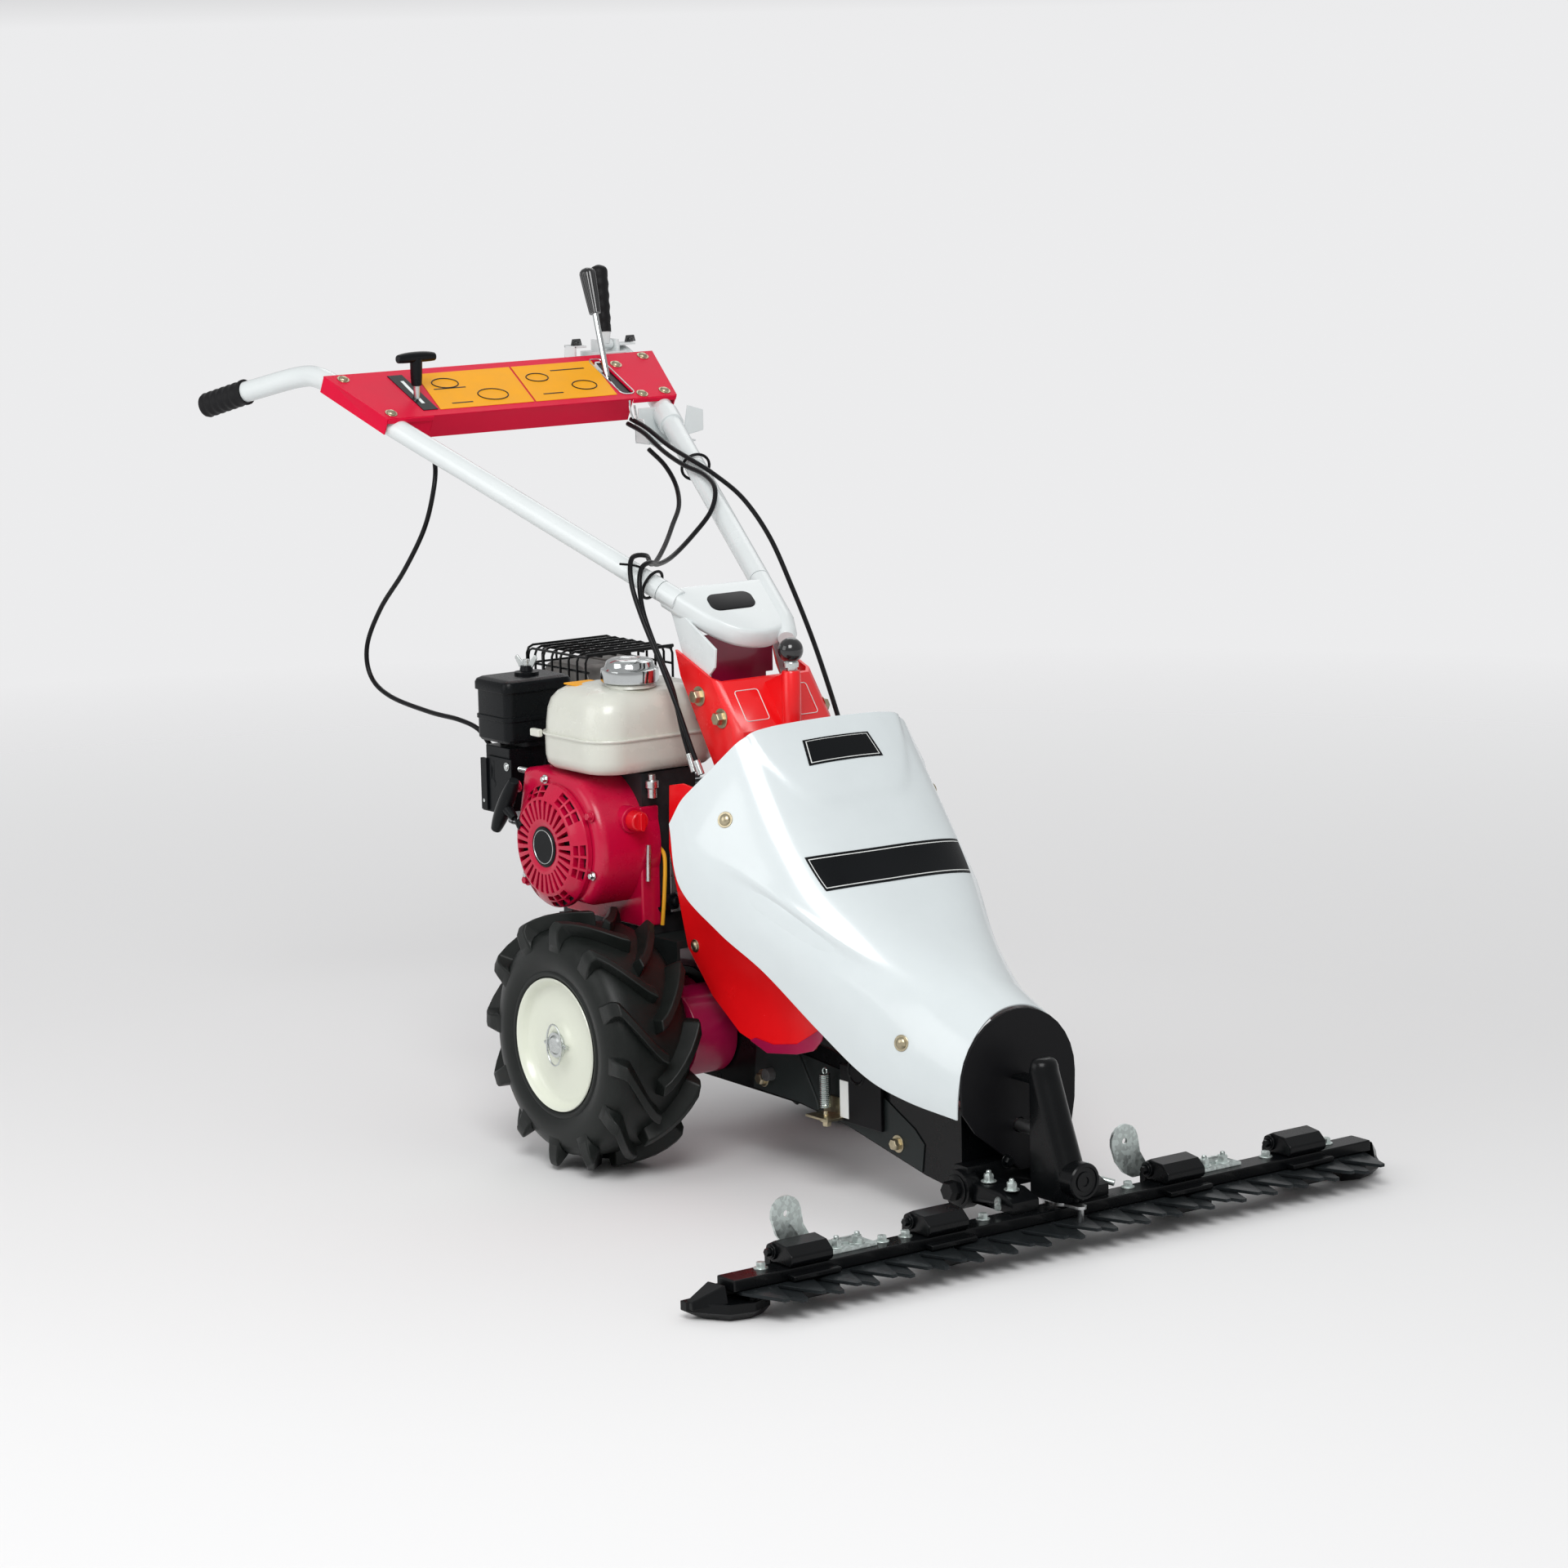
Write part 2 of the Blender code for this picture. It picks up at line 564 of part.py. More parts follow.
def bar_arms():
    """Galvanised arms on top of the bar, each curving up and back to an eye."""
    for word, eye, foot in (("right", -0.376, -0.346), ("left", 0.134, 0.2165)):
        outline = [(foot + 0.072, 0.0470), (foot + 0.072, 0.0508), (foot + 0.014, 0.0508)]
        outline += [(eye + 0.034, 0.062), (eye + 0.024, 0.078)] + arc((eye, 0.094), 0.021, 10, 190, 8)
        outline += [(eye - 0.014, 0.070), (eye - 0.002, 0.055), (eye + 0.012, 0.0470)]
        arm = prism(f"bar_arm_{word}", outline, "Y", -0.6365, -0.6325)
        sole = box(f"arm_foot_{word}", (foot, -0.676, BAR_HIGH.z + GAP), (foot + 0.070, -0.633, 0.0506))
        cut(union(arm, sole), cylinder(f"eye_{word}", 0.004, "Y", (eye, -0.66, 0.094), 0.04, 12))
        finish(arm, STEEL, 0.5, 1.0)


def end_shoes():
    """Flat pointed shoes that carry the bar's ends on the ground."""
    for side, word in ((-1, "right"), (1, "left")):
        foot = [(0.440, -0.640), (0.440, -0.690), (0.470, -0.702), (0.500, -0.694), (0.530, -0.652), (0.530,
                                                                                                      -0.640)]
        sole = [(0.446, -0.645), (0.446, -0.684), (0.470, -0.692), (0.495, -0.685), (0.510, -0.660), (0.512,
                                                                                                      -0.645)]
        if side < 0:
            foot, sole = mirrored(foot), mirrored(sole)
        shoe = loft(f"end_shoe_{word}", [(sole, 0.0), (foot, 0.010), (foot, 0.0210)])
        low_x, high_x = sorted((side * 0.446, side * 0.500))
        union(shoe, box(f"shoe_pad_{word}", (low_x, -0.6595, 0.018), (high_x, -0.641, 0.0320)))
        finish(shoe, BLACK, 0.4)


def skin(name, rings):
    """A solid through closed rings of points, each as long as the next."""
    count = len(rings[0])
    points = [Vector(point) for ring in rings for point in ring]
    faces = [tuple(range(count)), tuple(range(len(points) - 1, len(points) - count - 1, -1))]
    for i in range(len(rings) - 1):
        for k in range(count):
            n = (k + 1) % count
            faces.append((i * count + n, i * count + k, (i + 1) * count + k, (i + 1) * count + n))
    return mesh_object(name, points, faces)


def loft(name, rows):
    """A solid through outlines of equal length, each at its own height."""
    return skin(name, [[(x, y, height) for x, y in outline] for outline, height in rows])


def tension_spring():
    finish(cylinder("tension_spring", 0.007, "Z", (-0.078, -0.319, 0.1085), 0.046, 12), STEEL, 0.4, 1.0)


def spring_bracket():
    """A yellow-zinc angle under the spring, bolted to the frame's side."""
    bracket = box("spring_bracket", (-0.095, -0.345, 0.1005), (-0.0630, -0.300, 0.1035))
    union(bracket, box("bracket_wall", (-0.0670, -0.3445, 0.1010), (-0.0632, -0.3005, 0.125)),
          cylinder("bracket_hook", 0.003, "Z", (-0.078, -0.319, 0.1030), 0.0052, 12))
    finish(bracket, ZINC, 0.35, 1.0)


# Covers


def belt_guard():
    side = [(-0.050, 0.486), (-0.046, 0.404), (-0.082, 0.283), (-0.133, 0.228), (-0.190, 0.190), (-0.250,
                                                                                                  0.176),
            (-0.311, 0.185), (-0.345, 0.195), (-0.360, 0.210), (-0.335, 0.300), (-0.305, 0.360), (-0.255,
                                                                                                  0.425),
            (-0.200, 0.478), (-0.080, 0.492)]
    guard = prism("belt_guard", side, "X", -0.113, -0.110)
    union(guard, prism("guard_left", side, "X", 0.110, 0.113),
          box("guard_strap", (-0.111, -0.078, 0.425), (0.111, -0.074, 0.470)))
    finish(guard, RED, 0.25)


HOOD_SECTIONS = (
    # lower edge (x, y, z), ridge (y, z)
    ((0.200, -0.171, 0.463), (-0.230, 0.580)),
    ((0.193, -0.180, 0.385), (-0.270, 0.532)),
    ((0.175, -0.235, 0.333), (-0.320, 0.466)),
    ((0.155, -0.301, 0.290), (-0.375, 0.403)),
    ((0.130, -0.374, 0.227), (-0.435, 0.354)),
    ((0.112, -0.444, 0.178), (-0.495, 0.320)),
    ((0.101, -0.510, 0.152), (-0.550, 0.295)),
    ((0.091, -0.594, 0.138), (-0.594, 0.276)),
)
# The rear edge's shape, as shares of its half width and height: a flat top, a straight slope, an upright corner.
HOOD_REAR = ((0.0, 1.0), (0.20, 0.995), (0.38, 0.985), (0.54, 0.955), (0.65, 0.86), (0.755, 0.66), (0.86,
                                                                                                    0.46),
             (0.965, 0.26), (1.0, 0.0))


def hood_point(run, across):
    """A point of the hood's outside. Run goes from 0 at the rear to 1 at the nose, and across from -1 at one
    lower edge, over the ridge at 0, to 1."""
    (edge_x, edge_y, edge_z), (ridge_y, ridge_z) = HOOD_SECTIONS[round(run * (len(HOOD_SECTIONS) - 1))]
    angle = abs(across) * math.pi / 2
    square = 0.94 - 0.26 * max(0.0, 1 - ((run - 0.38) / 0.45) ** 2)
    wide = math.sin(angle) ** square
    down = 1 - math.cos(angle) ** square
    place = abs(across) * (len(HOOD_REAR) - 1)
    corner = min(int(place), len(HOOD_REAR) - 2)
    (x0, z0), (x1, z1) = HOOD_REAR[corner], HOOD_REAR[corner + 1]
    rear = max(0.0, 1 - run / 0.42) ** 1.5
    wide += rear * (x0 + (x1 - x0) * (place - corner) - wide)
    down += rear * (1 - z0 - (z1 - z0) * (place - corner) - down)
    return Vector((math.copysign(edge_x * wide, across), ridge_y + (edge_y - ridge_y) * down,
                   ridge_z + (edge_z - ridge_z) * down))


def hood():
    steps = 16
    last = len(HOOD_SECTIONS) - 1
    rows = [[hood_point(i / last, 2 * k / steps - 1) for k in range(steps + 1)] for i in range(last + 1)]
    focus_low, focus_high = Vector((0, -0.10, 0.33)), Vector((0, -0.60, 0.17))
    points = []
    for thick in (0.0, 0.003):
        for i, row in enumerate(rows):
            focus = focus_low.lerp(focus_high, i / (len(rows) - 1))
            points += [p + (focus - p).normalized() * thick for p in row]
    wide, layer = steps + 1, (steps + 1) * len(rows)
    faces = []
    for i in range(len(rows) - 1):
        for k in range(steps):
            quad = (i * wide + k, i * wide + k + 1, (i + 1) * wide + k + 1, (i + 1) * wide + k)
            faces += [quad, tuple(layer + v for v in reversed(quad))]
    border = list(range(wide)) + [(i + 1) * wide + steps for i in range(len(rows) - 1)]
    border += [(len(rows) - 1) * wide + k for k in range(steps - 1, -1, -1)]
    border += [i * wide for i in range(len(rows) - 2, 0, -1)]
    for a, b in zip(border, border[1:] + border[:1]):
        faces.append((b, a, layer + a, layer + b))
    finish(mesh_object("hood", points, faces), WHITE, 0.2)


# Engine


def engine_block():
    """Crankcase, open below, with the cylinder leaning back from it and a shelf for the tank."""
    block = box("engine_block", BLOCK_LOW, BLOCK_HIGH)
    barrel = box("cylinder_barrel", (-0.085, 0.130, 0.340), (0.045, 0.262, 0.455))
    turn_about(barrel, Vector((0, 0.130, 0.340)), "X", math.radians(20))
    shelf = box("tank_shelf", (BLOCK_LOW.x, -0.019, 0.450), (-0.050, 0.110, 0.4995))
    hub = cylinder("crank_boss", 0.022, "X", (0.050, CRANK.y, CRANK.z), 0.0095)
    sump = box("crankcase_hollow", (BLOCK_LOW.x + 0.008, BLOCK_LOW.y + 0.008, 0.28), (0.050, 0.120, 0.445))
    cut(union(block, barrel, shelf, hub), sump)
    finish(block, (0.30, 0.30, 0.31), 0.5, 1.0)


def fan_outline():
    """The blower housing seen along the crankshaft: a circle that runs into a tail over the cylinder, in (y, z)."""
    floor = math.degrees(math.asin((FAN_FLOOR_Z - FAN_CENTRE[1]) / FAN_RADIUS))
    drum = arc(FAN_CENTRE, FAN_RADIUS, 115, 180 - floor, 12)
    return drum + [(0.135, FAN_FLOOR_Z), (0.160, 0.350), (0.168, 0.420), (0.150, 0.494), (0.120, 0.4985)]


def fan_cover():
    cover = prism("fan_cover", fan_outline(), "X", -0.205, BLOCK_LOW.x - GAP)
    hollow = box("fan_hollow", (-0.198, 0.000, 0.345), (BLOCK_LOW.x + 0.01, 0.130, 0.470))
    boss = cylinder("switch_boss", 0.015, "Y", (SWITCH.x, SWITCH.y, SWITCH.z), 0.030)
    cut(union(cover, boss), hollow)
    finish(cover, CRIMSON, 0.25)


def recoil_housing():
    profile = [(0, 0), (0.080, 0), (0.078, -0.010), (0.066, -0.022), (0.060, -0.026), (0.030, -0.026),
               (0.028, -0.030), (0, -0.030)]
    housing = turned("recoil_housing", profile, "X", RECOIL, 32)
    finish(housing, CRIMSON, 0.25)


def starter_grip():
    """The T-shaped pull grip, its rope lying just clear of the recoil housing."""
    across = Vector((0.0, GRIP_PULL.z, -GRIP_PULL.y))
    grip = rod("starter_grip", GRIP - across * 0.042, GRIP + across * 0.042, 0.011, 12)
    union(grip, rod("grip_neck", GRIP, GRIP - GRIP_PULL * 0.026, 0.006, 10))
    finish(grip, BLACK, 0.6)


def fuel_tank():
    outline = rounded((TANK_LOW.x, TANK_LOW.y), (TANK_HIGH.x, TANK_HIGH.y), 0.042, 5)
    narrow = rounded((TANK_LOW.x + 0.012, TANK_LOW.y + 0.012), (TANK_HIGH.x - 0.012, TANK_HIGH.y - 0.012),
                     0.032, 5)
    small = rounded((TANK_LOW.x + 0.025, TANK_LOW.y + 0.025), (TANK_HIGH.x - 0.025, TANK_HIGH.y - 0.025),
                    0.030, 5)
    rows = [(narrow, TANK_LOW.z), (outline, TANK_LOW.z + 0.012), (outline, TANK_HIGH.z - 0.025),
            (narrow, TANK_HIGH.z - 0.006), (small, TANK_HIGH.z)]
    tank = loft("fuel_tank", rows)
    union(tank, cylinder("filler_neck", 0.026, "Z", (FUEL_CAP.x, FUEL_CAP.y, TANK_HIGH.z - 0.01), 0.0135))
    finish(tank, CREAM, 0.25)


def fuel_cap():
    profile = [(0, 0), (0.037, 0), (0.038, 0.018), (0.034, 0.026), (0.018, 0.030), (0, 0.030)]
    cap = turned("fuel_cap", profile, "Z", FUEL_CAP, 24)
    finish(cap, (0.8, 0.8, 0.8), 0.12, 1.0)


def air_cleaner():
    case = box("air_cleaner", (-0.206, 0.176, 0.520), (-0.100, 0.258, 0.603))
    union(case, box("intake_elbow", (-0.175, 0.185, 0.5136), (-0.120, 0.245, 0.525)))
    finish(case, BLACK, 0.35)


def carburettor():
    body = box("carburettor", (-0.195, 0.190, 0.430), (-0.125, 0.245, 0.5133))
    union(body, cylinder("float_bowl", 0.018, "Z", (-0.160, 0.218, 0.410), 0.025, 16))
    finish(body, (0.08, 0.08, 0.085), 0.4, 0.5)


def choke_lever():
    """The choke's lever on the carburettor's outer face."""
    lever = cylinder("choke_lever", 0.006, "X", (CHOKE.x - 0.0030, CHOKE.y, CHOKE.z), 0.0030, 12)
    union(lever, box("choke_blade", (CHOKE.x - 0.0028, CHOKE.y - 0.004, CHOKE.z), (CHOKE.x - 0.0005,
                                                                                   CHOKE.y + 0.004, CHOKE.z + 0.030)))
    finish(lever, BLACK, 0.5)


def muffler():
    low, high = Vector((-0.005, 0.282, 0.510)), Vector((0.098, 0.392, 0.590))
    can = prism("muffler", rounded((low.y, low.z), (high.y, high.z), 0.020), "X", low.x, high.x)
    union(can, rod("exhaust_pipe", (0.040, 0.300, 0.520), (0.040, 0.245, 0.480), 0.014))
    finish(can, (0.25, 0.24, 0.23), 0.6, 1.0)


def muffler_guard():
    """The wire guard over the muffler, as a shell that is open below and towards the engine."""
    low, high = Vector((-0.024, 0.262, 0.500)), Vector((0.120, 0.405, 0.611))
    guard = box("muffler_guard", low, high)
    wall = Vector((0.003, 0.003, 0.003))
    inside = box("guard_inside", (low.x + wall.x, low.y - 0.01, low.z - 0.01), high - wall)
    finish(cut(guard, inside), BLACK, 0.4)


def engine_switch():
    knob = cylinder("engine_switch", 0.013, "Y", (SWITCH.x, SWITCH.y - 0.016, SWITCH.z), 0.016 - GAP, 20)
    union(knob, box("switch_ridge", (SWITCH.x - 0.0035, SWITCH.y - 0.022, SWITCH.z - 0.012),
                    (SWITCH.x + 0.0035, SWITCH.y - 0.015, SWITCH.z + 0.012)))
    finish(knob, RED, 0.35)


# Handlebar


def bracket_section(rear, front):
    """The folded sheet's outline where its rear edge is at rear and its front face at front, each (y, z)."""
    half, sheet, fold = BRACKET_HALF_WIDTH, 0.004, 0.011
    outer = [(half - 0.009, front[0]), (half, front[0] + fold), (half, rear[0])]
    inner = [(half - sheet, rear[0]), (half - sheet, front[0] + fold + 0.0018), (half - 0.0108,
                                                                                 front[0] + sheet)]
    side = outer + inner
    rise = (rear[1] - front[1]) / (rear[0] - front[0])
    return [(x, y, front[1] + rise * (y - front[0])) for x, y in side + mirrored(side)[::-1]]


def handlebar_bracket():
    """The red bracket that swivels on the post. Its cheeks hold the fork and its tube holds the index pin."""
    rows = [bracket_section((-0.104, 0.505), (-0.150, 0.4935)), bracket_section((-0.030, 0.620), (-0.150,
                                                                                                  0.560)),
            bracket_section((-0.020, 0.652), (-0.107, 0.618))]
    bracket = skin("handlebar_bracket", rows)
    base = [(-0.0745, -0.080), (-0.0745, -0.135), (-0.064, -0.1475), (0.064, -0.1475), (0.0745, -0.135),
            (0.0745, -0.080)]
    gusset = [(-0.1465, 0.552), (-0.156, 0.556), (-0.156, 0.628), (-0.150, 0.628), (-0.109, 0.612)]
    union(bracket, prism("bracket_base", base, "Z", POST.z + GAP, POST.z + 0.006),
          box("bracket_foot", (-0.060, -0.1490, POST.z + 0.002), (0.060, -0.1462, 0.500)),
          prism("index_gusset", gusset, "X", -0.004, 0.004),
          cylinder("index_tube", 0.0105, "Z", (0, KNOB.y, 0.556), 0.076, 16))
    cut(bracket, cylinder("index_bore", 0.0056, "Z", (0, KNOB.y, 0.54), 0.12, 16))
    finish(bracket, RED, 0.25)


def lock_knob():
    """The index pin with its collar and ball."""
    profile = [(0, -0.094), (0.005, -0.094), (0.005, -0.024), (0.009, -0.024), (0.009, -0.015)]
    profile += [(math.cos(math.radians(a)) * 0.016, math.sin(math.radians(a)) * 0.016) for a in range(-50, 90,
                                                                                                      20)]
    knob = turned("lock_knob", profile + [(0, 0.016)], "Z", KNOB, 20)
    finish(knob, BLACK, 0.15)


def tube_line(y, side):
    """The handle tube's centre at y, on the straight stretch."""
    share = (y - TUBE_FOOT.y) / (TUBE_HEAD.y - TUBE_FOOT.y)
    point = TUBE_FOOT.lerp(TUBE_HEAD, share)
    return Vector((side * point.x, point.y, point.z))


def handle_fork():
    """The white fork: two cheeks between the bracket's, the cover plate over them and the tubes' feet."""
    cheek = [(0.004, 0.716), (-0.010, 0.690), (-0.046, 0.610), (-0.062, 0.566), (-0.080, 0.575), (-0.084,
                                                                                                  0.604),
             (-0.086, 0.626), (-0.097, 0.636), (-0.100, 0.660)]
    inner, outer = 0.0685, 0.0725
    fork = prism("handle_fork", cheek, "X", -outer, -inner)
    edge = [(0.084, -0.007), (0.074, -0.040), (0.057, -0.088), (0.034, -0.116), (0.0, -0.126)]
    cover = prism("fork_cover", mirrored(edge[:-1]) + edge[::-1], "Z", -0.023, 0.005)
    slope = math.atan2(TUBE_HEAD.z - TUBE_FOOT.z, TUBE_HEAD.y - TUBE_FOOT.y)
    cover.data.transform(Matrix.Translation((0, 0, 0.728)) @ Matrix.Rotation(slope, 4, "X"))
    feet = [rod(f"tube_foot_{side}", tube_line(-0.070, side), tube_line(0.0056, side), TUBE_RADIUS - 0.0002,
                16)
            for side in (-1, 1)]
    union(fork, cover, prism("fork_left", cheek, "X", inner, outer), *feet)
    finish(fork, WHITE, 0.25)


def handle_tubes():
    for side, word in ((-1, "right"), (1, "left")):
        start = tube_line(0.006, side)
        head = tube_line(0.450, side)
        bend = [(side * 0.235, 0.505, 0.960), (side * 0.243, 0.545, 0.975), (side * 0.253, 0.585, 0.975)]
        route = smooth_route([start, tube_line(0.25, side), head] + bend + [(side * GRIP_START.x,
                                                                             *GRIP_START[1:])], 3)
        finish(pipe(f"handle_tube_{word}", route, TUBE_RADIUS, TUBE_RADIUS - TUBE_WALL, 14), WHITE, 0.25)


def grips():
    for side, word in ((-1, "right"), (1, "left")):
        start = Vector((side * GRIP_START.x, GRIP_START.y, GRIP_START.z))
        end = Vector((side * GRIP_END.x, GRIP_END.y, GRIP_END.z))
        ahead = (end - start).normalized()
        finish(rod(f"grip_{word}", start + ahead * 0.0022, end, 0.0165, 16), BLACK, 0.7)


def console():
    """A folded sheet over the tubes: top, front and rear skirts, with a slot for each lever."""
    top = [(-0.2645, 0.058), (-0.2315, -0.058), (0.2315, -0.058), (0.2645, 0.058)]
    side = [(0.2628, 0.0575), (0.2298, -0.0575), (0.2314, -0.0575), (0.2644, 0.0575)]
    panel = prism("console", top, "Z", -CONSOLE_SHEET, 0.0)
    front = box("console_front", (-0.160, -0.0575, -0.034), (0.160, -0.0555, -0.0010))
    rear = box("console_rear", (-0.170, 0.0555, -0.030), (0.170, 0.0575, -0.0010))
    slots = [box("throttle_slot", (THROTTLE.x - 0.006, -0.040, -0.02), (THROTTLE.x + 0.006, 0.040, 0.02)),
             box("shift_slot", (SHIFT.x - 0.008, -0.044, -0.02), (SHIFT.x + 0.010, 0.044, 0.02))]
    pose = Matrix.Translation(CONSOLE) @ Matrix.Rotation(CONSOLE_TILT, 4, "X")
    skirts = [front, rear, prism("console_left", side, "Z", -0.024, -0.0010),
              prism("console_right", mirrored(side), "Z", -0.024, -0.0010)]
    for piece in [panel] + skirts + slots:
        piece.data.transform(pose)
    cut(union(panel, *skirts), *slots)
    finish(panel, CRIMSON, 0.25)


def throttle_lever():
    """A flat stem through the left slot, with a T-shaped head."""
    foot, head = THROTTLE, Vector((THROTTLE.x - 0.004, 0.432, 1.003))
    lever = rod("throttle_lever", foot, head, 0.0040, 12)
    union(lever, rod("throttle_head", head + Vector((-0.030, -0.002, 0)), head + Vector((0.030, 0.002, 0)),
                     0.008, 12))
    finish(lever, BLACK, 0.5)


def shift_lever():
    """A steel rod through the other slot, with a long ribbed knob."""
    head = Vector((0.171, 0.520, 1.100))
    up = (head - SHIFT).normalized()
    lever = rod("shift_lever", SHIFT, head - up * 0.060, 0.0045, 12)
    union(lever, rod("shift_knob", head - up * 0.064, head, 0.011, 16))
    finish(lever, BLACK, 0.3)


def lever_housing():
    """The white housing behind the console that carries the clutch lever, with a strap over the tube."""
    housing = box("lever_housing", (0.181, 0.507, 0.9745), (0.2245, 0.556, 0.984))
    union(housing, box("housing_riser", (0.2212, 0.522, 0.980), (0.2245, 0.546, 0.9935)),
          box("housing_strap", (0.2212, 0.522, 0.9905), (0.251, 0.546, 0.9935)))
    for x in (0.1895, 0.2165):
        union(housing, box(f"housing_ear_{x}", (x, 0.518, 0.980), (x + 0.004, 0.542, 1.000)))
    finish(housing, WHITE, 0.3)


def clutch_lever():
    """The dead-man lever: a pivot boss between the housing's ears and a black grip."""
    up = (CLUTCH_HEAD - CLUTCH_PIVOT).normalized()
    lever = cylinder("clutch_lever", 0.0065, "X", (0.1941, CLUTCH_PIVOT.y, CLUTCH_PIVOT.z), 0.0218, 16)
    union(lever, rod("clutch_stem", CLUTCH_PIVOT, CLUTCH_PIVOT + up * 0.025, 0.0055, 12),
          rod("clutch_grip", CLUTCH_PIVOT + up * 0.018, CLUTCH_HEAD, 0.0125, 16))
    finish(lever, BLACK, 0.6)


def cables():
    """Control cables, each along its whole route."""
    routes = {
        "throttle_cable": [(-0.172, 0.400, 0.895), (-0.178, 0.372, 0.868), (-0.190, 0.360, 0.832), (-0.195,
                                                                                                    0.378, 0.782),
                           (-0.200, 0.423, 0.724), (-0.200, 0.484, 0.669), (-0.200, 0.522, 0.615),
                           (-0.200, 0.515, 0.574), (-0.200, 0.467, 0.552), (-0.197, 0.376, 0.541),
                           (-0.194, 0.310, 0.538), (-0.187, 0.275, 0.529), (-0.176, 0.265, 0.509),
                           (-0.170, 0.2485, 0.495)],
        "knife_cable": [(0.150, 0.392, 0.902), (0.150, 0.355, 0.892), (0.147, 0.300, 0.872), (0.1455, 0.250,
                                                                                              0.858),
                        (0.151, 0.205, 0.841), (0.158, 0.150, 0.812), (0.160, 0.095, 0.765), (0.154, 0.040,
                                                                                              0.704),
                        (0.140, -0.020, 0.645), (0.120, -0.080, 0.590), (0.100, -0.135, 0.538),
                        (0.088, -0.170, 0.502)],
        "drive_cable": [(0.143, 0.390, 0.8965), (0.143, 0.352, 0.886), (0.139, 0.302, 0.8655), (0.137, 0.255,
                                                                                                0.851),
                        (0.136, 0.205, 0.841), (0.126, 0.168, 0.826), (0.102, 0.145, 0.800), (0.060, 0.130,
                                                                                              0.772),
                        (0.010, 0.105, 0.752), (-0.040, 0.066, 0.750), (-0.076, 0.032, 0.7585),
                        (-0.096, 0.022, 0.754), (-0.107, 0.012, 0.735), (-0.109, 0.002, 0.700),
                        (-0.106, -0.020, 0.655), (-0.101, -0.045, 0.609), (-0.100, -0.066, 0.551),
                        (-0.098, -0.085, 0.506)],
        "safety_cable": [(0.160, 0.366, 0.862), (0.164, 0.335, 0.842), (0.160, 0.305, 0.818), (0.138, 0.268,
                                                                                               0.795),
                         (0.100, 0.230, 0.775), (0.056, 0.185, 0.757), (0.010, 0.140, 0.744), (-0.036, 0.088,
                                                                                               0.748),
                         (-0.072, 0.046, 0.7655), (-0.104, 0.032, 0.766), (-0.118, 0.014, 0.738),
                         (-0.118, -0.006, 0.698), (-0.114, -0.040, 0.640), (-0.109, -0.068, 0.585),
                         (-0.105, -0.088, 0.540), (-0.101, -0.104, 0.505)],
    }
    for name, route in routes.items():
        curve = bpy.data.curves.new(name, "CURVE")
        curve.dimensions = "3D"
        curve.bevel_depth = CABLE_RADIUS
        curve.bevel_resolution = 2
        curve.use_fill_caps = True
        points = smooth_route(route, 2)
        spline = curve.splines.new("POLY")
        spline.points.add(len(points) - 1)
        for slot, point in zip(spline.points, points):
            slot.co = (*point, 1.0)
        cable = bpy.data.objects.new(name, curve)
        bpy.context.scene.collection.objects.link(cable)
        curve.materials.append(material(name, BLACK, 0.5, 0.0))


def main():
    clear_scene()
    wheels()
    gearbox_case()
    main_frame()
    engine_bridge()
    front_carrier()
    nose_plate()
    drive_cover()
    engine_pulley()
    countershaft()
    v_belt()
    idler_arm()
    drive_shaft()
    drive_lever()
    knives()
    bar_back()
    knife_guides()
    bar_arms()
    end_shoes()
    tension_spring()
    spring_bracket()
    belt_guard()
    hood()
    engine_block()
    fan_cover()
    recoil_housing()
    starter_grip()
    fuel_tank()
    fuel_cap()
    air_cleaner()
    carburettor()
    choke_lever()
    muffler()
    muffler_guard()
    engine_switch()
    handlebar_bracket()
    lock_knob()
    handle_fork()
    handle_tubes()
    grips()
    console()
    throttle_lever()
    shift_lever()
    lever_housing()
    clutch_lever()
    cables()


main()
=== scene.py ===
"""The looks of a walk-behind cutter-bar mower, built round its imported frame.

Metres, +Z up. -Y is ahead, where the cutter bar is, and +X is the operator's left. The origin is on the
ground under the axle. A shape is a pair (points, faces) until build() makes an object of it.
"""

import json
import math

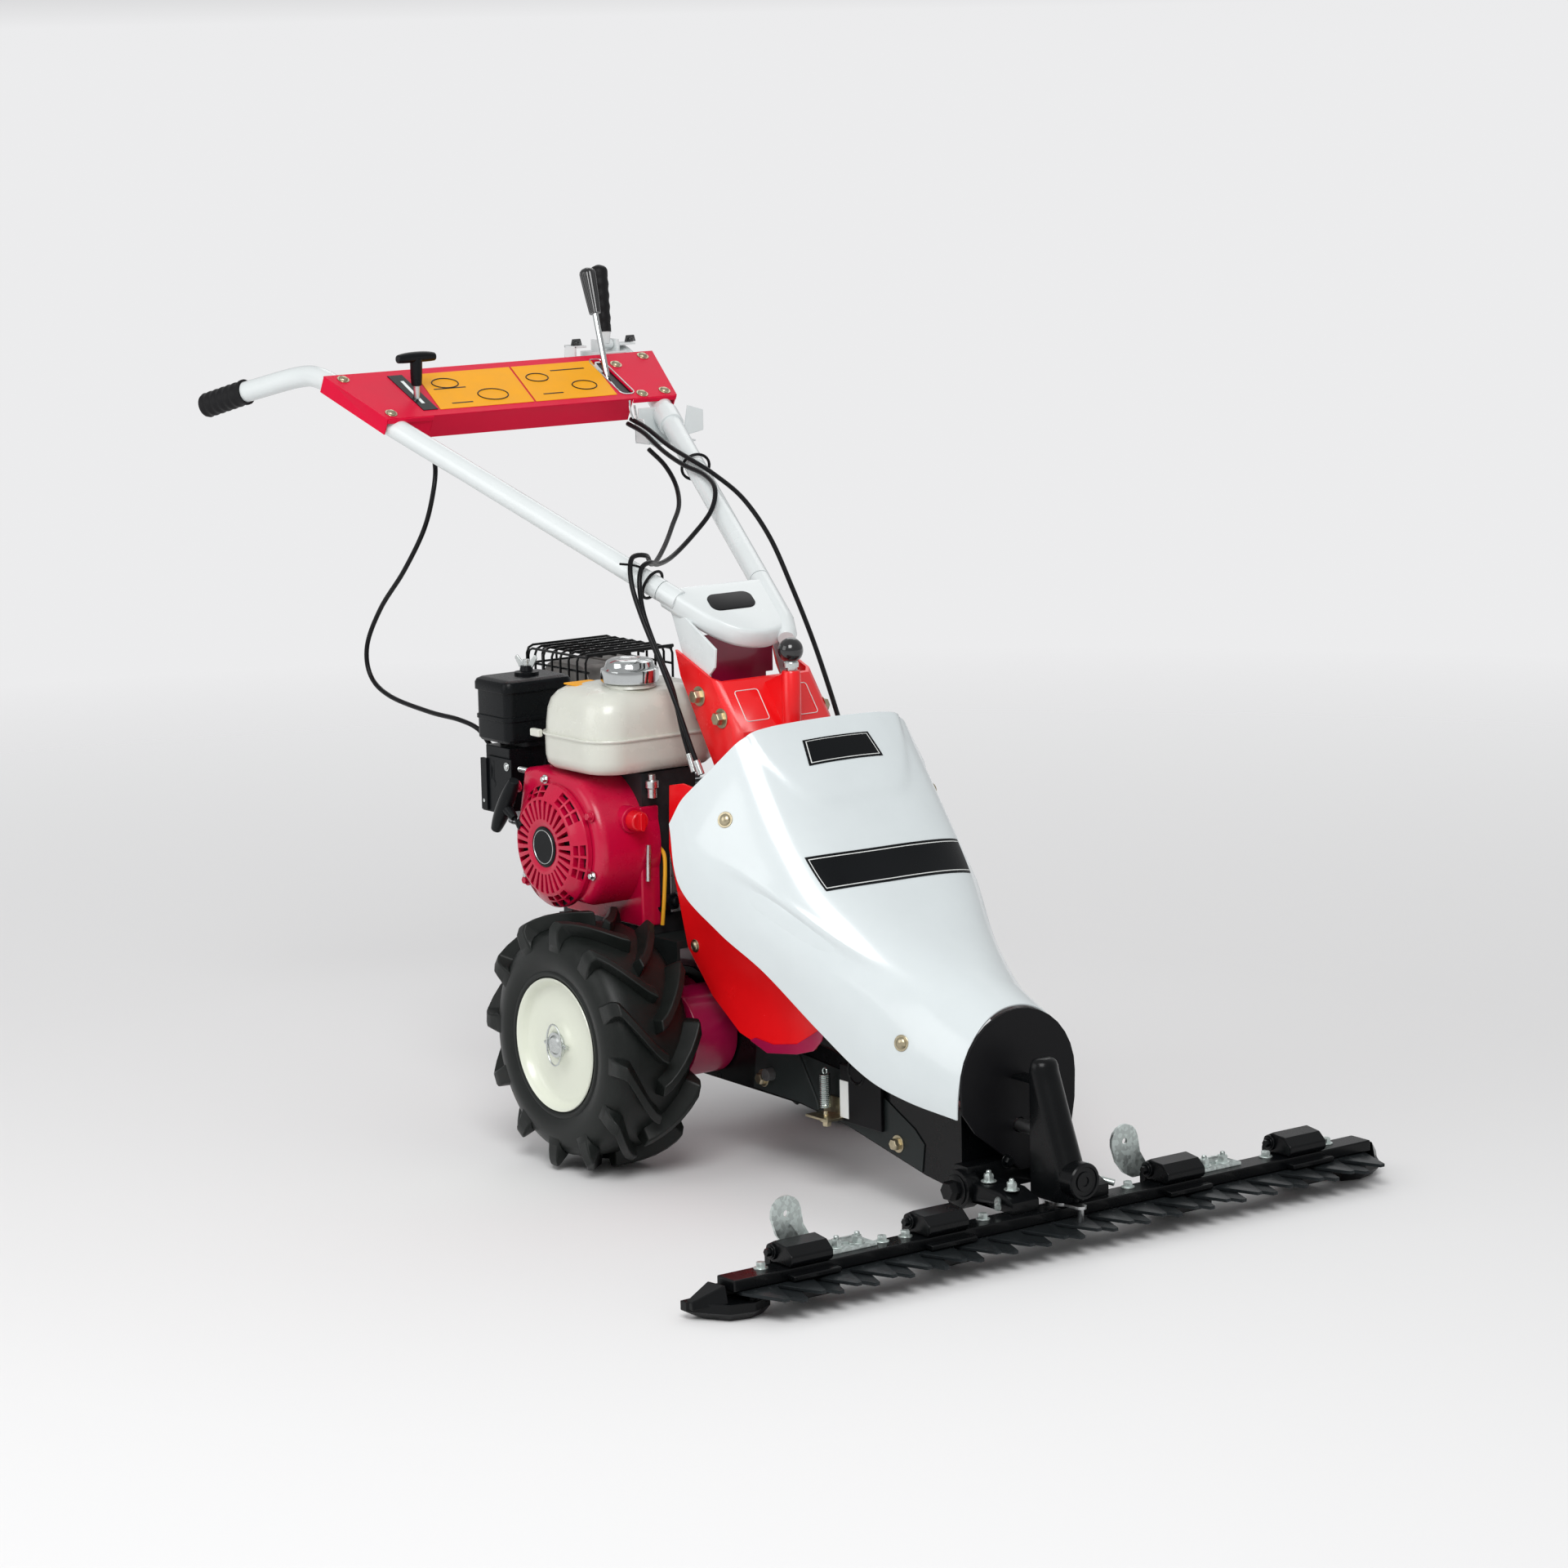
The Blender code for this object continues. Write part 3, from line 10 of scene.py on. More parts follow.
import bmesh
import bpy
from mathutils import Matrix, Vector
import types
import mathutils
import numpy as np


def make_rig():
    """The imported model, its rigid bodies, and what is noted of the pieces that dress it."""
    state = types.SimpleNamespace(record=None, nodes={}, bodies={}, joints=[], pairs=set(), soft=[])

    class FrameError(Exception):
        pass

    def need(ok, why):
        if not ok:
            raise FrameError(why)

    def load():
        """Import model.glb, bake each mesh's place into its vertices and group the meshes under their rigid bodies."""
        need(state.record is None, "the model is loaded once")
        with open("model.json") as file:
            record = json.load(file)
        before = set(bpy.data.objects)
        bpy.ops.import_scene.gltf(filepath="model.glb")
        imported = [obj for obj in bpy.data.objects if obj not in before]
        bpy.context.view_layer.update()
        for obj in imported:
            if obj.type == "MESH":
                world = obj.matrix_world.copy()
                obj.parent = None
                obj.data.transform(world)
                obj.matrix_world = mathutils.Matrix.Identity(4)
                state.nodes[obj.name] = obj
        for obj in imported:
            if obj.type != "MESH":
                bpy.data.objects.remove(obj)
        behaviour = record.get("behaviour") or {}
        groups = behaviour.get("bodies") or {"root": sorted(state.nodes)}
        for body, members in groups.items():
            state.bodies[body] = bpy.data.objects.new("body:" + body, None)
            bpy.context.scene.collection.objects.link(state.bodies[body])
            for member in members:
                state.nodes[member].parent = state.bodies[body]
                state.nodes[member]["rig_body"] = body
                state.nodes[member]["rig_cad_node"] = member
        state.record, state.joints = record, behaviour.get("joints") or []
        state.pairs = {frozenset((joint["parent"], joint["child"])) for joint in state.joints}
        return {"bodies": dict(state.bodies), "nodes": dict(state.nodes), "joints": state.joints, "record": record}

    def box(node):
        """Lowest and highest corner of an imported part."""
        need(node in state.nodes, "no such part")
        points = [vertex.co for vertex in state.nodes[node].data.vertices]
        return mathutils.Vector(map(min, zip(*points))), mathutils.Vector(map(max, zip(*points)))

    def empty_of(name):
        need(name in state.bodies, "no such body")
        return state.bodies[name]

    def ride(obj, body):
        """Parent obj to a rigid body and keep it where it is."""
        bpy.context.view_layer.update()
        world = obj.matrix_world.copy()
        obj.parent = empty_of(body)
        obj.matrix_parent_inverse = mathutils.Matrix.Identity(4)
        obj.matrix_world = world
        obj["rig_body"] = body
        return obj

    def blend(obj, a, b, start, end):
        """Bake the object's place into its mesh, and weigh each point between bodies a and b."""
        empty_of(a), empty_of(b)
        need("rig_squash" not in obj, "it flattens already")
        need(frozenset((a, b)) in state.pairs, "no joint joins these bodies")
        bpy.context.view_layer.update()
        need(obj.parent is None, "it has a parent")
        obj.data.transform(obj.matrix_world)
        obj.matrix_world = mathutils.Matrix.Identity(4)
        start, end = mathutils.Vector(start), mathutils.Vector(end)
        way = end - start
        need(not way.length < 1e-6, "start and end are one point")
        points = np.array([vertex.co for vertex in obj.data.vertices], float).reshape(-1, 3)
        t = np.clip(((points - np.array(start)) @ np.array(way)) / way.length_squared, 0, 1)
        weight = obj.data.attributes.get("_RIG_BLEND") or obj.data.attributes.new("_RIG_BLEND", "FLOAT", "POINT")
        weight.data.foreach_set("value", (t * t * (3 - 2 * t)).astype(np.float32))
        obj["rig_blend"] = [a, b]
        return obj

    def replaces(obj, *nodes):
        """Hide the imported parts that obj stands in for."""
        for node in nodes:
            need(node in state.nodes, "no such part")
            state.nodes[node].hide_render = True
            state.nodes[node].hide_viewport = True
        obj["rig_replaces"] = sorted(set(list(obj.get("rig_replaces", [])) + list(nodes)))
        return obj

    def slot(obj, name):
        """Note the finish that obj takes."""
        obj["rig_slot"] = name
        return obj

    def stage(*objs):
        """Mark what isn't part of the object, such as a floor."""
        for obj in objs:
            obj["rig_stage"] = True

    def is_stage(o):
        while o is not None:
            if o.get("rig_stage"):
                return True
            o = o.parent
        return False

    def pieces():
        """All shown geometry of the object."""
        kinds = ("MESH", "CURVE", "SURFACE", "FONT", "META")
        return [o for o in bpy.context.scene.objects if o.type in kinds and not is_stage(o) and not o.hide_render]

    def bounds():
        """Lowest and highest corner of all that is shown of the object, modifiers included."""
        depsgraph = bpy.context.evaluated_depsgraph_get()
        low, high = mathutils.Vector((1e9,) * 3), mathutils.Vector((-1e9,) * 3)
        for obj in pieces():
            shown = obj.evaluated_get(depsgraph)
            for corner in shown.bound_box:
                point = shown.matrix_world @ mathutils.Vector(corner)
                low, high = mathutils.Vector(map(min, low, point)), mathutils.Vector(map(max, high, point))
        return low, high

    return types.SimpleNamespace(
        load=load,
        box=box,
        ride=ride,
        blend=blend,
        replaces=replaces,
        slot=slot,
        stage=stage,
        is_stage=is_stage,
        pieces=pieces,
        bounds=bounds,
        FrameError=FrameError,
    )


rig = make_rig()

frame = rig.load()
CAD_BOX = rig.bounds()

SIDES = ((-1, "right"), (1, "left"))

# Wheels
AXLE = Vector((0.0, 0.0, 0.165))
HALF_TRACK = 0.205
LUGS = 12

# Places that the frame gives
CRANK = Vector((0.085, 0.070, 0.400))
COUNTERSHAFT = Vector((0.085, -0.190, 0.130))
CONSOLE = Vector((0.0, 0.450, 0.9555))
CONSOLE_TILT = math.radians(27.0)
TUBE_FOOT = Vector((0.0749, 0.0, 0.722))
TUBE_HEAD = Vector((0.2255, 0.450, 0.934))
GRIP_START = Vector((0.286, 0.668, 0.953))
GRIP_END = Vector((0.311, 0.7389, 0.931))
CLUTCH_PIVOT = Vector((0.205, 0.530, 0.993))
CLUTCH_HEAD = Vector((0.211, 0.550, 1.101))
CABLE_RADIUS = 0.0032
GUIDE_XS = (-0.382, -0.183, 0.183, 0.382)


# Shapes


def on_axis(axis, flat, along):
    """The point at flat in the plane across the axis, and at along on it."""
    u, v = flat
    return Vector({"X": (along, u, v), "Y": (u, along, v), "Z": (u, v, along)}[axis])


def lathe(profile, axis, centre, steps=64):
    """An open or closed (radius, along) profile turned round the axis."""
    points, rings = [], []
    for radius, along in profile:
        count = steps if radius > 1e-6 else 1
        ring = []
        for i in range(count):
            angle = 2 * math.pi * i / steps
            ring.append(len(points))
            flat = (radius * math.cos(angle), radius * math.sin(angle))
            points.append(Vector(centre) + on_axis(axis, flat, along))
        rings.append(ring * steps if count == 1 else ring)
    faces = []
    for a, b in zip(rings, rings[1:]):
        for i in range(steps):
            j = (i + 1) % steps
            quad = [a[i], a[j], b[j], b[i]]
            faces.append(tuple(dict.fromkeys(quad)))
    return points, faces


def prism(outline, axis, low, high):
    count = len(outline)
    points = [on_axis(axis, flat, along) for along in (low, high) for flat in outline]
    faces = [tuple(range(count)), tuple(range(2 * count - 1, count - 1, -1))]
    faces += [(k, (k + 1) % count, count + (k + 1) % count, count + k) for k in range(count)]
    return points, faces


def block(low, high):
    outline = [(low[0], low[1]), (high[0], low[1]), (high[0], high[1]), (low[0], high[1])]
    return prism(outline, "Z", low[2], high[2])


def loft(rows, capped=True, looped=True):
    """A skin over rows of points, each as long as the others."""
    count = len(rows[0])
    points = [Vector(p) for row in rows for p in row]
    faces = []
    for i in range(len(rows) - 1):
        for k in range(count if looped else count - 1):
            n = (k + 1) % count
            faces.append((i * count + k, i * count + n, (i + 1) * count + n, (i + 1) * count + k))
    if capped:
        faces += [tuple(range(count - 1, -1, -1)), tuple(range(len(points) - count, len(points)))]
    return points, faces


def sweep(route, radius, sides=12):
    """A round bar along the route. Radius is one number, or one for each point."""
    route = [Vector(p) for p in route]
    radii = radius if isinstance(radius, (list, tuple)) else [radius] * len(route)
    rows = []
    ahead = (route[1] - route[0]).normalized()
    side = ahead.orthogonal().normalized()
    for i, point in enumerate(route):
        before, after = route[max(i - 1, 0)], route[min(i + 1, len(route) - 1)]
        ahead = (after - before).normalized()
        side = (side - ahead * side.dot(ahead)).normalized()
        up = ahead.cross(side)
        turns = [2 * math.pi * k / sides for k in range(sides)]
        rows.append([point + (side * math.cos(a) + up * math.sin(a)) * radii[i] for a in turns])
    return loft(rows)


def hoop(route, radius, sides=8):
    """A closed ring of round wire."""
    points, faces = sweep(list(route) + [route[0], route[1]], radius, sides)
    count = len(route) * sides
    kept = []
    for face in faces[:-2]:
        kept.append(tuple(v if v < count else v - count for v in face))
    return points[:count], kept[:count]


def joined(*shapes):
    points, faces = [], []
    for more, skins in shapes:
        start = len(points)
        points += more
        faces += [tuple(start + v for v in face) for face in skins]
    return points, faces


def moved(shape, matrix):
    return [matrix @ Vector(p) for p in shape[0]], shape[1]


def arc(centre, radius, start, end, steps):
    turns = [math.radians(start + (end - start) * i / steps) for i in range(steps + 1)]
    return [(centre[0] + radius * math.cos(a), centre[1] + radius * math.sin(a)) for a in turns]


def rounded(low, high, radius, steps=6):
    (x0, y0), (x1, y1), r = low, high, radius
    return (arc((x1 - r, y1 - r), r, 0, 90, steps) + arc((x0 + r, y1 - r), r, 90, 180, steps)
            + arc((x0 + r, y0 + r), r, 180, 270, steps) + arc((x1 - r, y0 + r), r, 270, 360, steps))


def smooth(route, per_span=6):
    """Points along a Catmull-Rom curve through the route."""
    route = [Vector(p) for p in route]
    ends = [route[0] * 2 - route[1]] + route + [route[-1] * 2 - route[-2]]
    points = []
    for a, b, c, d in zip(ends, ends[1:], ends[2:], ends[3:]):
        for i in range(per_span):
            t = i / per_span
            points.append(0.5 * (2 * b + (c - a) * t + (2 * a - 5 * b + 4 * c - d) * t * t
                                 + (3 * b - a - 3 * c + d) * t * t * t))
    return points + [route[-1]]


def toward(place, direction):
    """A matrix that stands local +Z at place, along direction."""
    return Matrix.Translation(place) @ Vector(direction).to_track_quat("Z", "Y").to_matrix().to_4x4()


# Materials


def node_of(tree, kind, **values):
    node = tree.nodes.new(kind)
    for key, value in values.items():
        if key in node.inputs:
            node.inputs[key].default_value = value
        else:
            setattr(node, key, value)
    return node


def shader(name, colour, rough, metal=0.0, coat=0.0, mottle=0.06, scale=18.0, grain=0.0, grain_scale=900.0,
           stretch=(1, 1, 1), cells=False, soft=0.0, shine=0.5):
    """A material whose tone, roughness and fine relief all vary over the surface."""
    made = bpy.data.materials.new(name)
    made.use_nodes = True
    tree = made.node_tree
    principled = tree.nodes["Principled BSDF"]
    principled.inputs["Metallic"].default_value = metal
    principled.inputs["Coat Weight"].default_value = coat
    principled.inputs["Specular IOR Level"].default_value = shine
    principled.inputs["Coat Roughness"].default_value = 0.08
    principled.inputs["Subsurface Weight"].default_value = soft
    principled.inputs["Subsurface Radius"].default_value = (0.02, 0.02, 0.015)
    place = node_of(tree, "ShaderNodeTexCoord")
    spread = node_of(tree, "ShaderNodeMapping", Scale=stretch)
    tree.links.new(place.outputs["Object"], spread.inputs["Vector"])
    if cells:
        pattern = node_of(tree, "ShaderNodeTexVoronoi", Scale=scale)
        value = node_of(tree, "ShaderNodeSeparateColor")
        tree.links.new(pattern.outputs["Color"], value.inputs["Color"])
        level = value.outputs["Red"]
    else:
        pattern = node_of(tree, "ShaderNodeTexNoise", Scale=scale, Detail=6.0, Roughness=0.6)
        level = pattern.outputs["Fac"]
    tree.links.new(spread.outputs["Vector"], pattern.inputs["Vector"])
    tones = node_of(tree, "ShaderNodeValToRGB")
    tones.color_ramp.elements[0].position = 0.3
    tones.color_ramp.elements[0].color = (*[c * (1 - mottle) for c in colour], 1)
    tones.color_ramp.elements[1].position = 0.7
    tones.color_ramp.elements[1].color = (*[min(1, c * (1 + mottle)) for c in colour], 1)
    tree.links.new(level, tones.inputs["Fac"])
    tree.links.new(tones.outputs["Color"], principled.inputs["Base Color"])
    gloss = node_of(tree, "ShaderNodeMapRange")
    gloss.inputs["To Min"].default_value = max(0.03, rough * 0.8)
    gloss.inputs["To Max"].default_value = min(1.0, rough * 1.2)
    tree.links.new(level, gloss.inputs["Value"])
    tree.links.new(gloss.outputs["Result"], principled.inputs["Roughness"])
    if grain:
        fine = node_of(tree, "ShaderNodeTexNoise", Scale=grain_scale, Detail=3.0)
        tree.links.new(spread.outputs["Vector"], fine.inputs["Vector"])
        relief = node_of(tree, "ShaderNodeBump", Strength=grain, Distance=0.0006)
        tree.links.new(fine.outputs["Fac"], relief.inputs["Height"])
        tree.links.new(relief.outputs["Normal"], principled.inputs["Normal"])
    return made


# Each material's colour, roughness and the rest of its shader's values.
FINISHES = {
    "white_plastic": ((0.68, 0.735, 0.745), 0.24, dict(coat=0.35, mottle=0.015, grain=0.03,
                                                       grain_scale=260)),
    "white_paint": ((0.72, 0.76, 0.76), 0.26, dict(coat=0.3, mottle=0.02, grain=0.06, grain_scale=420)),
    "red_paint": ((0.84, 0.005, 0.008), 0.26, dict(coat=0.12, mottle=0.04, grain=0.05, grain_scale=380)),
    "crimson_paint": ((0.52, 0.002, 0.040), 0.27, dict(coat=0.12, shine=0.4, mottle=0.05, grain=0.05,
                                                       grain_scale=380)),
    "console_paint": ((0.70, 0.003, 0.040), 0.42, dict(shine=0.12, mottle=0.04, grain=0.04,
                                                       grain_scale=380)),
    # Dark crimson: the gearbox's own paint, and also painted shade on the bracket's rear wall.
    "dark_crimson": ((0.33, 0.002, 0.05), 0.30, dict(coat=0.4, mottle=0.08, grain=0.15, grain_scale=500)),
    "cream_paint": ((0.74, 0.77, 0.66), 0.30, dict(coat=0.25, mottle=0.02, grain=0.05, grain_scale=400)),
    "tank_plastic": ((0.66, 0.67, 0.60), 0.27, dict(coat=0.2, mottle=0.03, soft=0.08, grain=0.05,
                                                    grain_scale=500)),
    "tyre_rubber": ((0.009, 0.011, 0.010), 0.36, dict(shine=0.24, mottle=0.25, scale=24, grain=0.35,
                                                      grain_scale=1100)),
    "grip_rubber": ((0.008, 0.008, 0.009), 0.50, dict(shine=0.20, mottle=0.15, grain=0.3,
                                                      grain_scale=1500)),
    "cable_jacket": ((0.005, 0.005, 0.006), 0.34, dict(shine=0.18, mottle=0.2, grain=0.1,
                                                       grain_scale=1500)),
    "black_paint": ((0.003, 0.0035, 0.004), 0.28, dict(shine=0.14, coat=0.10, mottle=0.2, grain=0.18,
                                                       grain_scale=700)),
    "matt_black": ((0.004, 0.004, 0.005), 0.45, dict(shine=0.16, mottle=0.15, grain=0.12, grain_scale=700)),
    "grey_black": ((0.016, 0.020, 0.020), 0.38, dict(shine=0.18, mottle=0.12, grain=0.12, grain_scale=700)),
    "black_plastic": ((0.004, 0.005, 0.006), 0.28, dict(shine=0.16, mottle=0.15, grain=0.25,
                                                        grain_scale=1300)),
    "ball_plastic": ((0.008, 0.008, 0.009), 0.14, dict(coat=0.6, mottle=0.1)),
    "badge_black": ((0.004, 0.005, 0.006), 0.28, dict(shine=0.14, mottle=0.1)),
    "zinc": ((0.62, 0.65, 0.64), 0.28, dict(metal=1.0, mottle=0.12, scale=120, grain=0.1,
                                            grain_scale=1400)),
    "yellow_zinc": ((0.48, 0.42, 0.29), 0.32, dict(metal=1.0, mottle=0.22, scale=160, grain=0.1,
                                                   grain_scale=1400)),
    "galvanised": ((0.56, 0.62, 0.60), 0.42, dict(metal=0.85, mottle=0.16, scale=220, cells=True,
                                                  grain=0.15)),
    "chrome": ((0.55, 0.57, 0.57), 0.12, dict(metal=1.0, mottle=0.03, scale=60)),
    "machined": ((0.50, 0.51, 0.51), 0.30, dict(metal=1.0, mottle=0.1, scale=30, grain=0.2,
                                                stretch=(1, 1, 14))),
    "cast_aluminium": ((0.36, 0.37, 0.38), 0.48, dict(metal=0.8, mottle=0.12, scale=60, grain=0.4,
                                                      grain_scale=800)),
    "engine_grey": ((0.030, 0.030, 0.032), 0.5, dict(metal=0.4, mottle=0.2, scale=60, grain=0.4,
                                                     grain_scale=800, shine=0.3)),
    "cast_iron": ((0.10, 0.10, 0.10), 0.55, dict(metal=0.7, mottle=0.2, scale=60, grain=0.5,
                                                 grain_scale=700)),
    "blade_steel": ((0.020, 0.024, 0.026), 0.30, dict(shine=0.20, metal=0.45, mottle=0.2, scale=60,
                                                      grain=0.15, stretch=(10, 1, 1))),
    "muffler_steel": ((0.20, 0.19, 0.18), 0.45, dict(metal=0.9, mottle=0.25, scale=40, grain=0.2)),
    "spring_steel": ((0.50, 0.56, 0.54), 0.26, dict(metal=1.0, mottle=0.1, scale=90)),
    "amber": ((0.92, 0.40, 0.006), 0.50, dict(coat=0.0, shine=0.15, mottle=0.03, scale=40)),
    "label_white": ((0.80, 0.82, 0.80), 0.35, dict(mottle=0.02)),
    "yellow_rod": ((0.85, 0.42, 0.02), 0.35, dict(mottle=0.05)),
    "belt_rubber": ((0.015, 0.015, 0.015), 0.75, dict(mottle=0.2, grain=0.4, grain_scale=1500)),
    "red_plastic": ((0.66, 0.004, 0.012), 0.3, dict(coat=0.2, mottle=0.05, grain=0.08)),
}
LOOKS = {name: shader(name, colour, rough, **rest) for name, (colour, rough, rest) in FINISHES.items()}

SLOTS = {s["node"]: s["material_slot"] for s in frame["record"]["subparts"]}


# Pieces


def build(name, shape, look, body, slot, replaces=(), bevel=0.0, segments=2, crease=35, levels=0):
    """One visible piece: its mesh, edges, material, body and record slot."""
    mesh = bpy.data.meshes.new(name)
    mesh.from_pydata([tuple(p) for p in shape[0]], [], shape[1])
    mesh.validate()
    piece = bpy.data.objects.new(name, mesh)
    bpy.context.scene.collection.objects.link(piece)
    return dress(piece, look, body, slot, replaces, bevel, segments, crease, levels)


def dress(piece, look, body, slot, replaces=(), bevel=0.0, segments=2, crease=35, levels=0):
    mesh = piece.data
    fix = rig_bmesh(mesh)
    fix.to_mesh(mesh)
    fix.free()
    mesh.materials.clear()
    mesh.materials.append(LOOKS[look])
    mesh.shade_smooth()
    mesh.set_sharp_from_angle(angle=math.radians(crease))
    if bevel:
        edge = piece.modifiers.new("edges", "BEVEL")
        edge.width = bevel
        edge.segments = segments
        edge.limit_method = "ANGLE"
        edge.angle_limit = math.radians(crease)
        edge.harden_normals = True
        edge.use_clamp_overlap = True
    if levels:
        finer = piece.modifiers.new("finer", "SUBSURF")
        finer.levels = levels
        finer.render_levels = levels
    if body:
        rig.ride(piece, body)
    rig.slot(piece, slot)
    if replaces:
        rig.replaces(piece, *((replaces,) if isinstance(replaces, str) else replaces))
    return piece


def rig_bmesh(mesh):
    """The mesh with its doubles merged and its faces turned outwards."""
    work = bmesh.new()
    work.from_mesh(mesh)
    bmesh.ops.remove_doubles(work, verts=work.verts, dist=1e-6)
    bmesh.ops.recalc_face_normals(work, faces=work.faces)
    return work


def refined(node, look, bevel=0.0012, segments=2, crease=35):
    """A CAD node's own shape with its triangles joined into faces and its edges rounded."""
    source = frame["nodes"][node]
    mesh = source.data.copy()
    work = bmesh.new()
    work.from_mesh(mesh)
    bmesh.ops.remove_doubles(work, verts=work.verts, dist=2e-6)
    bmesh.ops.dissolve_limit(work, angle_limit=math.radians(1.0), verts=work.verts, edges=work.edges)
    many_sided = [face for face in work.faces if len(face.verts) > 4]
    bmesh.ops.triangulate(work, faces=many_sided, ngon_method="EAR_CLIP")
    work.to_mesh(mesh)
    work.free()
    piece = bpy.data.objects.new(f"{node}_body", mesh)
    bpy.context.scene.collection.objects.link(piece)
    return dress(piece, look, source["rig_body"], SLOTS[node], node, bevel, segments, crease)


def carve(piece, *shapes):
    """Cuts the shapes out of a piece, before its edges are rounded."""
    for number, shape in enumerate(shapes):
        mesh = bpy.data.meshes.new(f"{piece.name}_cut")
        mesh.from_pydata([tuple(p) for p in shape[0]], [], shape[1])
        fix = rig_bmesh(mesh)
        fix.to_mesh(mesh)
        fix.free()
        cutter = bpy.data.objects.new(mesh.name, mesh)
        bpy.context.scene.collection.objects.link(cutter)
        hole = piece.modifiers.new(f"hole_{number}", "BOOLEAN")
        hole.operation = "DIFFERENCE"
        hole.object = cutter
        piece.modifiers.move(len(piece.modifiers) - 1, 0)
        graph = bpy.context.evaluated_depsgraph_get()
        rest = [m for m in piece.modifiers if m != hole]
        for other in rest:
            other.show_viewport = False
        graph.update()
        cut = bpy.data.meshes.new_from_object(piece.evaluated_get(graph))
        piece.modifiers.remove(hole)
        for other in rest:
            other.show_viewport = True
        piece.data = cut
        bpy.data.objects.remove(cutter)
    piece.data.set_sharp_from_angle(angle=math.radians(35))
    return piece


# Fasteners, each standing on local +Z at the origin


def hex_head(size, height):
    corner = size / math.sqrt(3)
    rows = []
    for radius, z in ((corner, 0.0), (corner, height * 0.82), (corner * 0.88, height)):
        rows.append([(radius * math.cos(math.pi * k / 3), radius * math.sin(math.pi * k / 3), z)
                     for k in range(6)])
    return loft(rows)


def washer(radius, thick=0.0014):
    return lathe([(0, 0), (radius, 0), (radius, thick * 0.7), (radius * 0.96, thick), (0, thick)], "Z",
                 (0, 0, 0), 28)


def hex_bolt(size):
    """A washer with a hexagon head on it."""
    return joined(washer(size * 0.85), moved(hex_head(size, size * 0.62), Matrix.Translation((0, 0, 0.0014))))


def nut_on_stud(size):
    """A nut with the end of its stud standing out."""
    stud = lathe([(0, 0), (size * 0.29, 0), (size * 0.29, size * 1.15), (size * 0.22, size * 1.25),
                  (0, size * 1.25)], "Z", (0, 0, 0), 16)
    return joined(washer(size * 0.85), moved(hex_head(size, size * 0.75),
                                             Matrix.Translation((0, 0, 0.0014))), stud)


def pan_screw(radius):
    """A domed cross-head screw on a washer."""
    dome = [(radius * math.cos(a), radius * 0.55 * math.sin(a) + 0.001)
            for a in [math.pi / 2 * i / 6 for i in range(6)]]
    head = lathe([(0, 0), (radius, 0)] + dome + [(0, radius * 0.55 + 0.001)], "Z", (0, 0, 0), 24)
    return joined(washer(radius * 1.35, 0.0010), head)


def fasten(name, shape, places, look, body, slot):
    """One piece holding the same fastener at each (place, direction)."""
    return build(name, joined(*[moved(shape, toward(p, d)) for p, d in places]), look, body, slot, crease=30)


# Wheels


def along_profile(profile, share):
    """The point at that share of the way along a polyline."""
    spans = [(Vector(b) - Vector(a)).length for a, b in zip(profile, profile[1:])]
    left = share * sum(spans)
    for (a, b), span in zip(zip(profile, profile[1:]), spans):
        if left <= span:
            return Vector(a).lerp(Vector(b), left / span)
        left -= span
    return Vector(profile[-1])


def tyre_lug(side, inward, phase):
    """One curved tread bar, from the middle of the tread over the shoulder and down the side wall."""
    under = [(-0.004, 0.1455), (0.020, 0.1455), (0.040, 0.1435), (0.053, 0.137), (0.0585, 0.127),
             (0.0595, 0.119)]
    over = [(-0.003, 0.1648), (0.020, 0.1648), (0.042, 0.1640), (0.0575, 0.1600), (0.0630, 0.1490),
            (0.0605, 0.121)]
    rows = []
    for i in range(11):
        share = i / 10
        low, high = along_profile(under, share), along_profile(over, share)
        angle = phase + math.radians(27) * min(1.0, share / 0.62) ** 1.35
        row = []
        foot, head = 0.0105 + 0.003 * share, 0.0068 + 0.0035 * share
        for point, half, sign in ((low, foot, -1), (high, head, -1), (high, head, 1), (low, foot, 1)):
            turn = angle + sign * half / point.y
            x = AXLE.x + side * HALF_TRACK + side * inward * point.x
            row.append((x, -point.y * math.cos(turn), AXLE.z + point.y * math.sin(turn)))
        rows.append(row)
    return loft(rows)


def tyres():
    carcass = [(0.0800, 0.0450), (0.0795, 0.0535), (0.0830, 0.0580), (0.0865, 0.0570), (0.0880, 0.0590),
               (0.0925, 0.0600), (0.0945, 0.0585), (0.1000, 0.0605), (0.1090, 0.0625), (0.1190, 0.0612),
               (0.1290, 0.0580), (0.1370, 0.0530), (0.1430, 0.0440), (0.1462, 0.0300), (0.1470, 0.0)]
    half = [(r, x) for r, x in carcass]
    profile = half + [(r, -x) for r, x in reversed(half[:-1])]
    for side, word in SIDES:
        centre = (side * HALF_TRACK, 0, AXLE.z)
        build(f"tyre_{word}_casing", lathe(profile, "X", centre, 120), "tyre_rubber", "wheels", "tyre_rubber",
              f"tyre_{word}", crease=50)
        lugs = []
        for i in range(LUGS):
            step = 2 * math.pi / LUGS
            lugs += [tyre_lug(side, 1, i * step), tyre_lug(side, -1, (i + 0.5) * step)]
        build(f"tyre_{word}_lugs", joined(*lugs), "tyre_rubber", "wheels", "tyre_rubber", bevel=0.0022,
              segments=2, crease=40)


